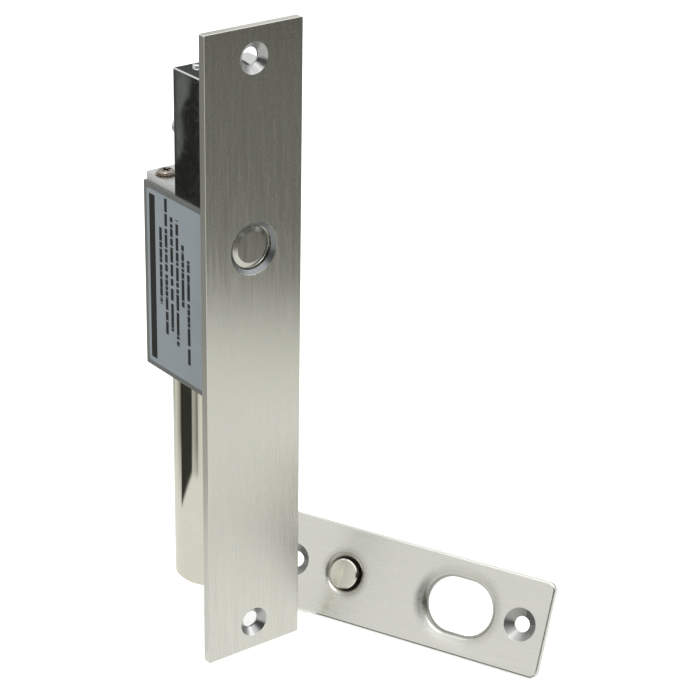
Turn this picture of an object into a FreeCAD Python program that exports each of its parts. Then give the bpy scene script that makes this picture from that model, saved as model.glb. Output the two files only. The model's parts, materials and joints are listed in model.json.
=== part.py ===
"""Mortice solenoid bolt lock and its magnet strike plate, as a parametric assembly.

Frame: millimetres, +Z up along the face plate, +Y from the face plate into the door frame,
+X to the right seen from the front.  The origin is the middle of the two mounting screws,
on the back of the face plate, which is the face that seats in the rebate of the door frame.
Power holds the bolt out; without power the spring on the plunger draws it back, as drawn here.
"""
import FreeCAD, Part
import Sketcher
import math
import os

V = FreeCAD.Vector
X_AXIS = V(1, 0, 0)
Y_AXIS = V(0, 1, 0)
Z_AXIS = V(0, 0, 1)

# ---------------------------------------------------------------- driving dimensions (mm, degrees)
DIMENSIONS = {
    # face plate
    "plate_width": 34.2,
    "plate_height": 204.0,
    "plate_thick": 2.6,
    "plate_corner": 0.6,
    "plate_edge": 0.2,
    "mount_spacing": 185.2,
    "mount_hole_radius": 2.75,
    "mount_sink_depth": 2.1,
    # bolt and its way out
    "bolt_height": 34.4,
    "bolt_radius": 6.5,
    "bolt_face_radius": 4.9,
    "bolt_length": 31.15,
    "bolt_recess": 1.35,
    "bolt_nose_bevel": 0.4,
    "bolt_throw": 15.0,
    "bolt_hole_radius": 7.0,
    "bolt_hole_bevel": 1.3,
    "bush_bore_radius": 6.56,
    "bush_radius": 8.5,
    "bush_flange_radius": 9.8,
    "bush_flange": 2.0,
    # case
    "case_half_width": 12.5,
    "case_depth": 35.8,
    "case_top": 49.6,
    "case_drop": 12.9,
    "case_wall": 4.0,
    "case_back_wall": 3.0,
    "case_side_wall": 2.0,
    "cover_thick": 1.0,
    "cover_depth": 35.6,
    "cover_top": 47.2,
    "label_thick": 0.12,
    "label_margin": 1.7,
    # polished housing over the case
    "housing_half_width": 13.25,
    "housing_depth": 19.3,
    "housing_top": 86.5,
    "housing_lip": 47.3,
    "housing_sheet": 0.75,
    "housing_edge": 0.4,
    # solenoid
    "solenoid_y": 18.3,
    "tube_radius": 13.0,
    "tube_wall": 0.8,
    "tube_end": 82.4,
    "pole_thick": 4.5,
    "nipple_radius": 8.0,
    "nut_thick": 3.0,
    "guide_radius": 5.4,
    "plunger_bore": 5.05,
    "plunger_radius": 5.0,
    "plunger_top": 15.6,
    "plunger_foot": 42.4,
    "core_top": 48.0,
    "coil_foot": 70.9,
    "bobbin_flange": 1.5,
    "bobbin_radius": 11.9,
    "winding_radius": 11.2,
    # lever
    "lever_y": 28.6,
    "lever_z": 9.4,
    "lever_thick": 4.0,
    "lever_hub": 3.1,
    "lever_pin_radius": 1.75,
    "lever_play": 0.05,
    "bolt_pin_y": 24.4,
    "bolt_pin_radius": 1.5,
    "bolt_pin_play": 0.2,
    "plunger_pin_radius": 1.25,
    "plunger_pin_play": 0.12,
    "fork_gap": 4.4,
    # return spring on the plunger
    "spring_wire": 0.4,
    "spring_radius": 6.3,
    "spring_turns": 5.0,
    "collar_foot": 4.5,
    "collar_thick": 1.2,
    "ring_thick": 0.8,
    # strike plate, in its own frame: length to -X from the near end, width up Z, back +Y
    "strike_length": 99.0,
    "strike_width": 30.6,
    "strike_thick": 2.0,
    "strike_corner": 2.6,
    "strike_edge": 0.6,
    "strike_near_x": 58.86,
    "strike_near_y": -70.35,
    "strike_turn": -66.1,
    "strike_lean": 24.4,
    "strike_screw_inset": 8.95,
    "strike_screw_radius": 2.55,
    "strike_sink_width": 2.8,
    "strike_sink_depth": 2.1,
    "strike_dimple": 0.9,
    "keeper_inset": 30.5,
    "keeper_radius": 8.75,
    "keeper_slot": 5.0,
    "keeper_rim": 1.7,
    "keeper_dish_width": 4.2,
    "keeper_dish_depth": 0.9,
    "keeper_dish_blend": 12.0,
    "magnet_inset": 71.2,
    "magnet_radius": 4.9,
    "magnet_hole_radius": 5.3,
    "magnet_rim": 1.9,
    "magnet_proud": 1.3,
}

doc = FreeCAD.newDocument("solenoid_bolt_lock")
sheet = doc.addObject("Spreadsheet::Sheet", "Dims")
for row, (alias, number) in enumerate(DIMENSIONS.items(), start=1):
    sheet.set("A%d" % row, alias)
    sheet.set("B%d" % row, str(number))
    sheet.setAlias("B%d" % row, alias)
doc.recompute()


class Size:
    """A length that keeps its sheet formula beside its value, so sums of sizes stay parametric."""

    def __init__(self, value, formula):
        self.value = float(value)
        self.formula = formula

    def _join(self, other, sign, result, swap=False):
        other = other if isinstance(other, Size) else Size(other, repr(float(other)))
        left, right = (other, self) if swap else (self, other)
        return Size(result(left.value, right.value), "(%s %s %s)" % (left.formula, sign, right.formula))

    def __add__(self, other):
        return self._join(other, "+", lambda a, b: a + b)

    def __radd__(self, other):
        return self._join(other, "+", lambda a, b: a + b, swap=True)

    def __sub__(self, other):
        return self._join(other, "-", lambda a, b: a - b)

    def __rsub__(self, other):
        return self._join(other, "-", lambda a, b: a - b, swap=True)

    def __mul__(self, other):
        return self._join(other, "*", lambda a, b: a * b)

    __rmul__ = __mul__

    def __truediv__(self, other):
        return self._join(other, "/", lambda a, b: a / b)

    def __neg__(self):
        return self * -1

    def __float__(self):
        return self.value


class Sheet:
    """Reads the driving dimensions by name: D.plate_width is the Size of that cell."""

    def __getattr__(self, alias):
        return Size(sheet.get(alias), "Dims." + alias)


D = Sheet()

# places that several pieces share
FRONT = -D.plate_thick
CASE_FOOT = -D.case_drop
CASE_ROOF = D.case_top - D.case_wall
CASE_FLOOR = CASE_FOOT + D.case_wall
NIPPLE_TOP = CASE_FLOOR + D.nut_thick
POLE_FOOT = CASE_FOOT - D.pole_thick
COIL_FOOT = -D.coil_foot
TUBE_BORE = D.tube_radius - D.tube_wall
STUD_HEIGHTS = (-3.5, 14.0)
TOP_SCREW_PLACE = (9.3, 29.6)
COVER_SCREW_PLACES = [(3.1, -9.8), (3.1, 43.9), (30.9, -9.8), (30.9, 43.9)]
COVER_SCREW_RADIUS = 0.7
COVER_SCREW_HEAD = 1.3
HOUSING_SCREW_PLACE = (10.1, 67.9)
ROOF_SCREW_PLACE = (6.9, 16.0)
BRACKET_SCREW_PLACE = (7.0, 14.2)
BRACKET_SHEET = 1.6
BOARD_SCREW_HEIGHTS = (60.5, 79.5)
BOARD_SCREW_X = 8.5
BOARD_FRONT = 10.4
BOARD_THICK = 1.6
GROMMET_Y = 8.6
REED_DISTANCE = D.magnet_inset - D.keeper_inset
LEAD_RADIUS = 0.55
LEAD_ROUTES = (
    ((-7.6, 10.5), (-9.8, 9.4)),
    ((-6.4, 9.5), (-9.8, 7.9)),
)
exported = []


# ---------------------------------------------------------------- building blocks
def bind(obj, **sizes):
    """Set each property and tie it to the sheet where its size comes from there."""
    for name, size in sizes.items():
        setattr(obj, name, float(size))
        if isinstance(size, Size):
            obj.setExpression(name, size.formula)


def place(obj, x=0, y=0, z=0, turn=None):
    """Place an object: turn it first, then move its own origin to x, y, z."""
    obj.Placement = FreeCAD.Placement(V(float(x), float(y), float(z)), turn or FreeCAD.Rotation())
    for axis, size in (("x", x), ("y", y), ("z", z)):
        if isinstance(size, Size):
            obj.setExpression(".Placement.Base." + axis, size.formula)
    return obj


def export(obj, label):
    """Name a finished sub-part; its label is its file name."""
    obj.Label = label
    exported.append(obj)
    return obj


def new_body(name):
    return doc.addObject("PartDesign::Body", name)


def origin_plane(body, role):
    return next(item for item in body.Origin.OriginFeatures if item.Role == role)


def new_sketch(body, name, role="XZ_Plane", lift=0):
    """Sketch on one of the body's origin planes, or lifted off it along the plane's normal."""
    sketch = body.newObject("Sketcher::SketchObject", name)
    sketch.AttachmentSupport = (origin_plane(body, role), [""])
    sketch.MapMode = "FlatFace"
    sketch.AttachmentOffset = FreeCAD.Placement(V(0, 0, float(lift)), FreeCAD.Rotation())
    if isinstance(lift, Size):
        sketch.setExpression(".AttachmentOffset.Base.z", lift.formula)
    return sketch


def fix_point(sketch, geometry, position, x, y):
    """Hold one point of a sketch at x, y from the sketch's origin."""
    for kind, size in (("DistanceX", x), ("DistanceY", y)):
        index = sketch.addConstraint(Sketcher.Constraint(kind, -1, 1, geometry, position, float(size)))
        if isinstance(size, Size):
            sketch.setExpression("Constraints[%d]" % index, size.formula)


def draw_outline(sketch, points):
    """Closed outline of straight edges through the points."""
    first = sketch.GeometryCount
    count = len(points)
    corners = [V(float(x), float(y), 0) for x, y in points]
    for i in range(count):
        sketch.addGeometry(Part.LineSegment(corners[i], corners[(i + 1) % count]))
    for i in range(count):
        sketch.addConstraint(Sketcher.Constraint("Coincident", first + i, 2, first + (i + 1) % count, 1))
    for i, (x, y) in enumerate(points):
        fix_point(sketch, first + i, 1, x, y)


def draw_circle(sketch, x, y, radius):
    index = sketch.addGeometry(Part.Circle(V(float(x), float(y), 0), V(0, 0, 1), float(radius)))
    fix_point(sketch, index, 3, x, y)
    limit = sketch.addConstraint(Sketcher.Constraint("Radius", index, float(radius)))
    if isinstance(radius, Size):
        sketch.setExpression("Constraints[%d]" % limit, radius.formula)


def rectangle(x0, y0, x1, y1):
    return [(x0, y0), (x1, y0), (x1, y1), (x0, y1)]


def pad(body, sketch, length, backward=False):
    feature = body.newObject("PartDesign::Pad", sketch.Name + "_pad")
    feature.Profile = sketch
    bind(feature, Length=length)
    feature.Reversed = backward
    doc.recompute()
    return feature


def pocket(body, sketch, length, backward=False):
    """Cut the sketch into the body, and stop if it cut nothing."""
    before = body.Shape.Volume
    feature = body.newObject("PartDesign::Pocket", sketch.Name + "_cut")
    feature.Profile = sketch
    bind(feature, Length=length)
    feature.Reversed = backward
    doc.recompute()
    if body.Shape.Volume >= before - 1e-6:
        raise RuntimeError("pocket %s removes nothing" % sketch.Name)
    return feature


def edges_where(shape, test):
    """Names of the edges whose middle and curve pass the test."""
    names = []
    for number, edge in enumerate(shape.Edges, start=1):
        middle = edge.valueAt((edge.FirstParameter + edge.LastParameter) / 2)
        if test(edge, middle):
            names.append("Edge%d" % number)
    return names


def dress(body, kind, size, test, depth=None):
    """Fillet or chamfer the edges of the body that pass the test; depth makes a chamfer uneven."""
    names = edges_where(body.Shape, test)
    if not names:
        raise RuntimeError("%s on %s finds no edge" % (kind, body.Name))
    dressed = body.Tip
    feature = body.newObject("PartDesign::" + kind, "%s_%s%d" % (body.Name, kind.lower(), len(body.Group)))
    feature.Base = (dressed, names)
    bind(feature, **{"Radius" if kind == "Fillet" else "Size": size})
    if depth is not None:
        feature.ChamferType = "Two distances"
        bind(feature, Size2=depth)
    doc.recompute()
    return feature


def is_line_along(edge, direction):
    return isinstance(edge.Curve, Part.Line) and edge.tangentAt(edge.FirstParameter).cross(direction).Length < 1e-6


def is_circle(edge, radius):
    return isinstance(edge.Curve, Part.Circle) and abs(edge.Curve.Radius - float(radius)) < 0.01


def turned(name, profile):
    """Body turned about its own Z axis from a closed half profile of (radius, height) points."""
    body = new_body(name)
    sketch = new_sketch(body, name + "_profile")
    draw_outline(sketch, profile)
    feature = body.newObject("PartDesign::Revolution", name + "_turn")
    feature.Profile = sketch
    feature.ReferenceAxis = (sketch, ["V_Axis"])
    feature.Angle = 360.0
    doc.recompute()
    return body


def flat(name, role, outline, thickness, backward=False):
    """Body cut from flat stock: an outline on one origin plane, padded by its thickness."""
    body = new_body(name)
    sketch = new_sketch(body, name + "_outline", role)
    draw_outline(sketch, outline)
    pad(body, sketch, thickness, backward)
    return body


def block(name, low, high):
    """Plain rectangular block between two corners."""
    box = doc.addObject("Part::Box", name)
    bind(box, Length=high[0] - low[0], Width=high[1] - low[1], Height=high[2] - low[2])
    return place(box, *low)


def rod(name, radius, length, start, turn=None):
    """Plain cylinder from its start point along +Z, or along the turned Z."""
    cylinder = doc.addObject("Part::Cylinder", name)
    bind(cylinder, Radius=radius, Height=length)
    return place(cylinder, *start, turn=turn)


def cut_all(name, base, tools):
    """Base with every tool removed."""
    joined = tools[0]
    if len(tools) > 1:
        joined = doc.addObject("Part::MultiFuse", name + "_tools")
        joined.Shapes = tools
    result = doc.addObject("Part::Cut", name)
    result.Base = base
    result.Tool = joined
    return result


def fuse_all(name, pieces):
    result = doc.addObject("Part::MultiFuse", name)
    result.Shapes = pieces
    return result


def group(name, pieces):
    """Identical separate solids that share one node."""
    result = doc.addObject("Part::Compound", name)
    result.Links = pieces
    return result


def mirrored(piece):
    """The same piece on the other side of the plane X = 0."""
    twin = doc.addObject("Part::Mirroring", piece.Name + "_twin")
    twin.Source = piece
    twin.Normal = X_AXIS
    return twin


def shaped(name, shape):
    feature = doc.addObject("Part::Feature", name)
    feature.Shape = shape
    return feature


TO_FRONT = FreeCAD.Rotation(X_AXIS, 90)
TO_BACK = FreeCAD.Rotation(X_AXIS, -90)
TO_RIGHT = FreeCAD.Rotation(Y_AXIS, 90)
TO_LEFT = FreeCAD.Rotation(Y_AXIS, -90)


def pan_screw(name, head_radius, head_height, shank_radius, shank_length):
    """Pan-head screw: upright rim and rounded crown above Z = 0, shank below, cross recess."""
    rim = head_height * 0.5
    flat_radius = head_radius * 0.6
    shoulder = V(head_radius * 0.9, 0, rim + (head_height - rim) * 0.7)
    crown = Part.Arc(V(head_radius, 0, rim), shoulder, V(flat_radius, 0, head_height))
    corners = [V(0, 0, -shank_length), V(shank_radius, 0, -shank_length), V(shank_radius, 0, 0)]
    corners += [V(head_radius, 0, 0), V(head_radius, 0, rim)]
    edges = [Part.LineSegment(a, b).toShape() for a, b in zip(corners, corners[1:])]
    edges.append(crown.toShape())
    top = [V(flat_radius, 0, head_height), V(0, 0, head_height), corners[0]]
    edges += [Part.LineSegment(a, b).toShape() for a, b in zip(top, top[1:])]
    screw = Part.Face(Part.Wire(edges)).revolve(V(0, 0, 0), Z_AXIS, 360)
    arm = head_radius * 0.55
    width = head_radius * 0.16
    depth = head_height * 0.55
    for length, breadth in ((arm, width), (width, arm)):
        corner = V(-length, -breadth, head_height - depth)
        screw = screw.cut(Part.makeBox(2 * length, 2 * breadth, depth + 1, corner))
    return shaped(name, screw.removeSplitter())


# ---------------------------------------------------------------- face plate and case
def make_face_plate():
    half_width = D.plate_width / 2
    half_height = D.plate_height / 2
    outline = rectangle(-half_width, -half_height, half_width, half_height)
    body = flat("face_plate", "XZ_Plane", outline, D.plate_thick)
    dress(body, "Fillet", D.plate_corner, lambda edge, middle: is_line_along(edge, Y_AXIS))
    dress(body, "Fillet", D.plate_edge, lambda edge, middle: abs(middle.y - float(FRONT)) < 1e-6)
    holes = new_sketch(body, "face_plate_holes")
    draw_circle(holes, 0, D.bolt_height, D.bolt_hole_radius)
    draw_circle(holes, 0, D.mount_spacing / 2, D.mount_hole_radius)
    draw_circle(holes, 0, -D.mount_spacing / 2, D.mount_hole_radius)
    pocket(body, holes, D.plate_thick, backward=True)
    front = float(FRONT)
    dress(body, "Chamfer", D.bolt_hole_bevel,
          lambda edge, middle: is_circle(edge, D.bolt_hole_radius) and abs(middle.y - front) < 1e-6)
    dress(body, "Chamfer", D.mount_sink_depth,
          lambda edge, middle: is_circle(edge, D.mount_hole_radius) and abs(middle.y - front) < 1e-6)
    export(body, "face_plate")


def make_plate_studs():
    """Threaded studs welded to the back of the face plate, with the nuts that hold the case."""
    studs = [rod("stud_%d" % i, 2.0, 8.4, (0, 0, z), TO_BACK) for i, z in enumerate(STUD_HEIGHTS)]
    export(group("plate_studs_group", studs), "plate_studs")
    nuts = []
    for i, z in enumerate(STUD_HEIGHTS):
        body = new_body("stud_nut_%d" % i)
        sketch = new_sketch(body, "stud_nut_%d_outline" % i, "XY_Plane")
        corner_radius = 4.04
        angles = [math.radians(60 * k) for k in range(6)]
        draw_outline(sketch, [(corner_radius * math.cos(a), corner_radius * math.sin(a)) for a in angles])
        draw_circle(sketch, 0, 0, 2.0)
        pad(body, sketch, 3.2)
        nuts.append(place(body, 0, D.case_wall, z, TO_BACK))
    export(group("stud_nuts_group", nuts), "stud_nuts")


def make_case_body():
    """Cast case, open to the left: bolt chamber above, solenoid seat in the floor."""
    body = new_body("case_body")
    outer = new_sketch(body, "case_outer", "YZ_Plane")
    draw_outline(outer, rectangle(0, CASE_FOOT, D.case_depth, D.case_top))
    pad(body, outer, D.case_half_width * 2)
    chamber = new_sketch(body, "case_chamber", "YZ_Plane")
    back = D.case_depth - D.case_back_wall
    corner_y = back - 3.8
    corner_z = CASE_ROOF - 3.6
    draw_outline(chamber, [(D.case_wall, CASE_FLOOR), (back, CASE_FLOOR), (back, corner_z), (corner_y, corner_z),
                           (corner_y, CASE_ROOF), (D.case_wall, CASE_ROOF)])
    pocket(body, chamber, D.case_half_width * 2 - D.case_side_wall, backward=True)
    dress(body, "Fillet", 1.2, lambda edge, middle: is_line_along(edge, X_AXIS)
          and 0.1 < middle.y < float(D.case_depth) - 0.1)
    boss = new_sketch(body, "case_pivot_boss", "YZ_Plane", lift=D.case_half_width + 2.3)
    draw_circle(boss, D.lever_y, D.lever_z, 3.5)
    pad(body, boss, D.case_half_width - 2.3 - D.case_side_wall / 2)
    pivot = new_sketch(body, "case_pivot_bore", "YZ_Plane")
    draw_circle(pivot, D.lever_y, D.lever_z, D.lever_pin_radius)
    pocket(body, pivot, D.case_half_width * 2 - 0.6, backward=True)
    screws = new_sketch(body, "case_cover_screws", "YZ_Plane")
    for y, z in COVER_SCREW_PLACES:
        draw_circle(screws, y, z, COVER_SCREW_RADIUS)
    pocket(body, screws, 6.0, backward=True)
    mid = D.case_half_width
    fronts = new_sketch(body, "case_front_bores", "XZ_Plane")
    draw_circle(fronts, mid, D.bolt_height, D.bush_radius)
    for z in STUD_HEIGHTS:
        draw_circle(fronts, mid, z, 2.05)
    pocket(body, fronts, D.case_wall)
    roof = new_sketch(body, "case_roof_bores", "XY_Plane", lift=D.case_top)
    for side in (-1, 1):
        draw_circle(roof, mid + side * TOP_SCREW_PLACE[0], TOP_SCREW_PLACE[1], 1.5)
        draw_circle(roof, mid + side * BRACKET_SCREW_PLACE[0], BRACKET_SCREW_PLACE[1], 1.25)
    for low, high in LEAD_ROUTES:
        draw_circle(roof, mid + high[0], high[1], 0.72)
    pocket(body, roof, D.case_wall)
    floor = new_sketch(body, "case_floor_bores", "XY_Plane")
    draw_circle(floor, mid, D.solenoid_y, D.nipple_radius)
    for low, high in LEAD_ROUTES:
        draw_circle(floor, mid + low[0], low[1], 0.72)
    pocket(body, floor, D.case_drop + 0.5)
    dress(body, "Fillet", 0.5, lambda edge, middle: is_line_along(edge, Z_AXIS)
          and abs(middle.y - float(D.case_depth)) < 1e-6)
    place(body, x=-D.case_half_width)
    export(body, "case_body")


def make_side_cover():
    outline = rectangle(0, CASE_FOOT, D.cover_depth, D.cover_top)
    body = flat("side_cover", "YZ_Plane", outline, D.cover_thick)
    holes = new_sketch(body, "side_cover_holes", "YZ_Plane")
    hole_radius = COVER_SCREW_RADIUS + 0.05
    for y, z in COVER_SCREW_PLACES:
        draw_circle(holes, y, z, hole_radius)
    pocket(body, holes, D.cover_thick, backward=True)
    dress(body, "Chamfer", COVER_SCREW_HEAD - hole_radius,
          lambda edge, middle: is_circle(edge, hole_radius) and abs(middle.x) < 1e-6)
    place(body, x=-D.case_half_width - D.cover_thick)
    export(body, "side_cover")
    screws = []
    for i, (y, z) in enumerate(COVER_SCREW_PLACES):
        cone = D.cover_thick - COVER_SCREW_HEAD + COVER_SCREW_RADIUS
        profile = [(0, -5.0), (COVER_SCREW_RADIUS, -5.0), (COVER_SCREW_RADIUS, cone),
                   (COVER_SCREW_HEAD, D.cover_thick), (0, D.cover_thick)]
        screw = turned("cover_screw_%d" % i, profile)
        screws.append(place(screw, -D.case_half_width, y, z, TO_LEFT))
    export(group("cover_screws_group", screws), "cover_screws")


def make_rating_label():
    margin = D.label_margin
    outline = rectangle(margin, CASE_FOOT + margin, D.cover_depth - margin, D.cover_top - margin)
    body = flat("rating_label", "YZ_Plane", outline, D.label_thick)
    dress(body, "Fillet", 1.0, lambda edge, middle: is_line_along(edge, X_AXIS))
    place(body, x=-D.case_half_width - D.cover_thick - D.label_thick)
    export(body, "rating_label")


def make_top_screws():
    """Two earthing screws with toothed washers on the case roof."""
    side, depth = TOP_SCREW_PLACE
    washer_thick = 0.5
    body = turned("tooth_washer_right", [(1.6, 0), (3.3, 0), (3.3, washer_thick), (1.6, washer_thick)])
    notch = new_sketch(body, "tooth_notch", "XY_Plane")
    draw_outline(notch, [(2.5, -0.08), (3.5, -0.34), (3.5, 0.34), (2.5, 0.08)])
    cut = pocket(body, notch, washer_thick, backward=True)
    pattern = body.newObject("PartDesign::PolarPattern", "tooth_notches")
    pattern.Originals = [cut]
    pattern.Axis = (notch, ["N_Axis"])
    pattern.Angle = 360.0
    pattern.Occurrences = 14
    body.Tip = pattern
    place(body, side, depth, D.case_top)
    export(group("tooth_washers_pair", [body, mirrored(body)]), "tooth_washers")
    screw = pan_screw("top_screw", 2.75, 1.2, 1.5, 4.5)
    place(screw, side, depth, D.case_top + washer_thick)
    export(group("earth_screws_pair", [screw, mirrored(screw)]), "earth_screws")


# ---------------------------------------------------------------- polished housing and its electronics
def make_housing():
    """Folded cap over the case: its side flanges lap the case, front and foot are open."""
    half = D.housing_half_width
    inner = half - D.housing_sheet
    outer = block("housing_outer", (-half, 0, D.housing_lip), (half, D.housing_depth, D.housing_top))
    doc.recompute()
    edges = edges_where(outer.Shape, lambda edge, middle: middle.y > 0.1 and middle.z > float(D.housing_lip) + 0.1)
    rounded = doc.addObject("Part::Fillet", "housing_rounded")
    rounded.Base = outer
    radius = float(D.housing_edge)
    rounded.Edges = [(int(name[4:]), radius, radius) for name in edges]
    low = (-inner, -1, D.housing_lip - 1)
    high = (inner, D.housing_depth - D.housing_sheet, D.housing_top - D.housing_sheet)
    hollow = block("housing_hollow", low, high)
    foot = block("housing_back_foot", (-half - 1, 14, D.housing_lip - 1), (half + 1, D.housing_depth + 1, D.case_top))
    foot_keep = block("housing_lap_left", (-half - 1, 14, D.housing_lip - 1), (-inner, D.housing_depth, D.case_top))
    lap_right = block("housing_lap_right", (inner, 14, D.housing_lip - 1), (half + 1, D.housing_depth, D.case_top))
    back_strip = cut_all("housing_back_strip", foot, [foot_keep, lap_right])
    tools = [hollow, back_strip]
    side, height = HOUSING_SCREW_PLACE
    depth = D.housing_depth + 1
    for sign in (-1, 1):
        tools.append(rod("housing_back_hole_%+d" % sign, 1.55, 3, (sign * side, depth, height), TO_FRONT))
        x, y = ROOF_SCREW_PLACE
        tools.append(rod("housing_roof_hole_%+d" % sign, 1.05, 3, (sign * x, y, D.housing_top - 2)))
    tools.append(rod("housing_grommet_hole", 4.0, 3, (0, GROMMET_Y, D.housing_top - 2)))
    export(cut_all("housing_shell", rounded, tools), "sensor_housing")
    back_screw = pan_screw("housing_back_screw", 2.75, 2.3, 1.5, 4.5)
    place(back_screw, side, D.housing_depth, height, TO_BACK)
    export(group("housing_back_screws_pair", [back_screw, mirrored(back_screw)]), "housing_back_screws")
    roof_screw = pan_screw("housing_roof_screw", 1.4, 0.8, 1.0, 3.0)
    place(roof_screw, ROOF_SCREW_PLACE[0], ROOF_SCREW_PLACE[1], D.housing_top)
    export(group("housing_roof_screws_pair", [roof_screw, mirrored(roof_screw)]), "housing_roof_screws")


def make_wire_grommet():
    """Rubber grommet in the housing roof: the inlet for the supply leads."""
    roof = D.housing_sheet
    profile = [(2.4, -1.2 - roof), (5.2, -1.2 - roof), (5.2, -roof), (4.0, -roof), (4.0, 0), (5.2, 0)]
    profile += [(5.2, 1.0), (4.4, 1.6), (2.4, 1.6)]
    body = turned("wire_grommet", profile)
    place(body, 0, GROMMET_Y, D.housing_top)
    export(body, "wire_grommet")


def make_board_bracket():
    """Folded bracket inside the housing: foot on the case, back plate, and a lug under the roof."""
    half = 12.0
    back = D.housing_depth - D.housing_sheet
    roof = D.housing_top - D.housing_sheet
    plate = block("bracket_back", (-half, back - BRACKET_SHEET, D.case_top), (half, back, roof))
    foot = block("bracket_foot", (-half, 11.6, D.case_top), (half, back, D.case_top + BRACKET_SHEET))
    lug = block("bracket_lug", (-half, 14.2, roof - BRACKET_SHEET), (half, back, roof))
    solid = fuse_all("bracket_solid", [plate, foot, lug])
    tools = []
    side, height = HOUSING_SCREW_PLACE
    for sign in (-1, 1):
        tools.append(rod("bracket_back_hole_%+d" % sign, 1.5, 4, (sign * side, back + 1, height), TO_FRONT))
        x, y = ROOF_SCREW_PLACE
        tools.append(rod("bracket_roof_hole_%+d" % sign, 1.0, 4, (sign * x, y, roof - 3)))
        x, y = BRACKET_SCREW_PLACE
        tools.append(rod("bracket_foot_hole_%+d" % sign, 1.25, 4, (sign * x, y, D.case_top - 1)))
    export(cut_all("bracket_cut", solid, tools), "board_bracket")
    screw = pan_screw("bracket_screw", 2.2, 1.6, 1.25, 4.5)
    place(screw, BRACKET_SCREW_PLACE[0], BRACKET_SCREW_PLACE[1], D.case_top + BRACKET_SHEET)
    export(group("bracket_screws_pair", [screw, mirrored(screw)]), "bracket_screws")


def make_board():
    """Timer and monitor board on four spacers."""
    low = (-11.0, BOARD_FRONT, 54.0)
    high = (11.0, BOARD_FRONT + BOARD_THICK, 82.5)
    places = [(sign * BOARD_SCREW_X, z) for sign in (-1, 1) for z in BOARD_SCREW_HEIGHTS]
    board = block("board_blank", low, high)
    holes = [rod("board_hole_%d" % i, 1.0, 4, (x, BOARD_FRONT - 1, z), TO_BACK) for i, (x, z) in enumerate(places)]
    export(cut_all("board_cut", board, holes), "circuit_board")
    spacer_length = D.housing_depth - D.housing_sheet - BRACKET_SHEET - BOARD_FRONT - BOARD_THICK
    spacers = []
    screws = []
    for i, (x, z) in enumerate(places):
        spacer = turned("spacer_%d" % i, [(1.0, 0), (2.0, 0), (2.0, spacer_length), (1.0, spacer_length)])
        spacers.append(place(spacer, x, BOARD_FRONT + BOARD_THICK, z, TO_BACK))
        screw = pan_screw("board_screw_%d" % i, 1.8, 1.1, 1.0, 4.5)
        screws.append(place(screw, x, BOARD_FRONT, z, TO_FRONT))
    export(group("board_spacers_group", spacers), "board_spacers")
    export(group("board_screws_group", screws), "board_screws")
    relay = block("relay_block", (-3.5, 1.6, 59.0), (6.5, BOARD_FRONT, 71.0))
    export(relay, "control_relay")
    terminal = block("terminal_block_body", (-5.0, 4.4, 54.2), (5.0, BOARD_FRONT, 58.2))
    slots = [block("terminal_slot_%d" % i, (x, 4.0, 55.4), (x + 1.8, 6.0, 57.4)) for i, x in enumerate((-3.6, -0.9, 1.8))]
    export(cut_all("terminal_cut", terminal, slots), "terminal_block")
    capacitor = rod("capacitor_can", 3.0, 8.0, (-7.5, BOARD_FRONT, 68.0), TO_FRONT)
    export(capacitor, "timer_capacitor")


def make_reed_switch():
    """Glass reed on bent leads, level with the magnet of the strike when the door is shut."""
    height = D.bolt_height + REED_DISTANCE
    y = 5.0
    lead = 0.3
    glass = rod("reed_glass", 1.2, 13.0, (-6.5, y, height), TO_RIGHT)
    wire = rod("reed_wire", lead, 16.0, (-8.0, y, height), TO_RIGHT)
    pieces = [glass, wire]
    for sign in (-1, 1):
        pieces.append(rod("reed_leg_%+d" % sign, lead, BOARD_FRONT - y, (sign * 8.0, y, height), TO_BACK))
    export(fuse_all("reed_fused", pieces), "reed_switch")


# ---------------------------------------------------------------- solenoid
def make_solenoid_shell():
    bevel = 0.5
    radius = D.tube_radius
    bore = TUBE_BORE
    foot = -D.tube_end
    tube = turned("solenoid_tube", [(bore, foot), (radius - bevel, foot), (radius, foot + bevel),
                                    (radius, CASE_FOOT), (bore, CASE_FOOT)])
    export(place(tube, y=D.solenoid_y), "solenoid_tube")
    pole = turned("top_pole", [(D.guide_radius, POLE_FOOT), (bore, POLE_FOOT), (bore, CASE_FOOT),
                               (D.nipple_radius, CASE_FOOT), (D.nipple_radius, NIPPLE_TOP),
                               (D.guide_radius, NIPPLE_TOP)])
    leads = new_sketch(pole, "top_pole_leads", "XY_Plane")
    for low, high in LEAD_ROUTES:
        draw_circle(leads, low[0], low[1] - D.solenoid_y, 0.72)
    pocket(pole, leads, 20.0)
    export(place(pole, y=D.solenoid_y), "top_pole")
    nut = turned("lock_nut", [(D.nipple_radius, CASE_FLOOR), (10.2, CASE_FLOOR), (10.2, NIPPLE_TOP),
                              (D.nipple_radius, NIPPLE_TOP)])
    notch = new_sketch(nut, "lock_nut_notch", "XY_Plane")
    draw_outline(notch, rectangle(9.2, -1.0, 10.6, 1.0))
    cut = pocket(nut, notch, 12.0)
    pattern = nut.newObject("PartDesign::PolarPattern", "lock_nut_notches")
    pattern.Originals = [cut]
    pattern.Axis = (notch, ["N_Axis"])
    pattern.Angle = 360.0
    pattern.Occurrences = 6
    nut.Tip = pattern
    export(place(nut, y=D.solenoid_y), "lock_nut")


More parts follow.
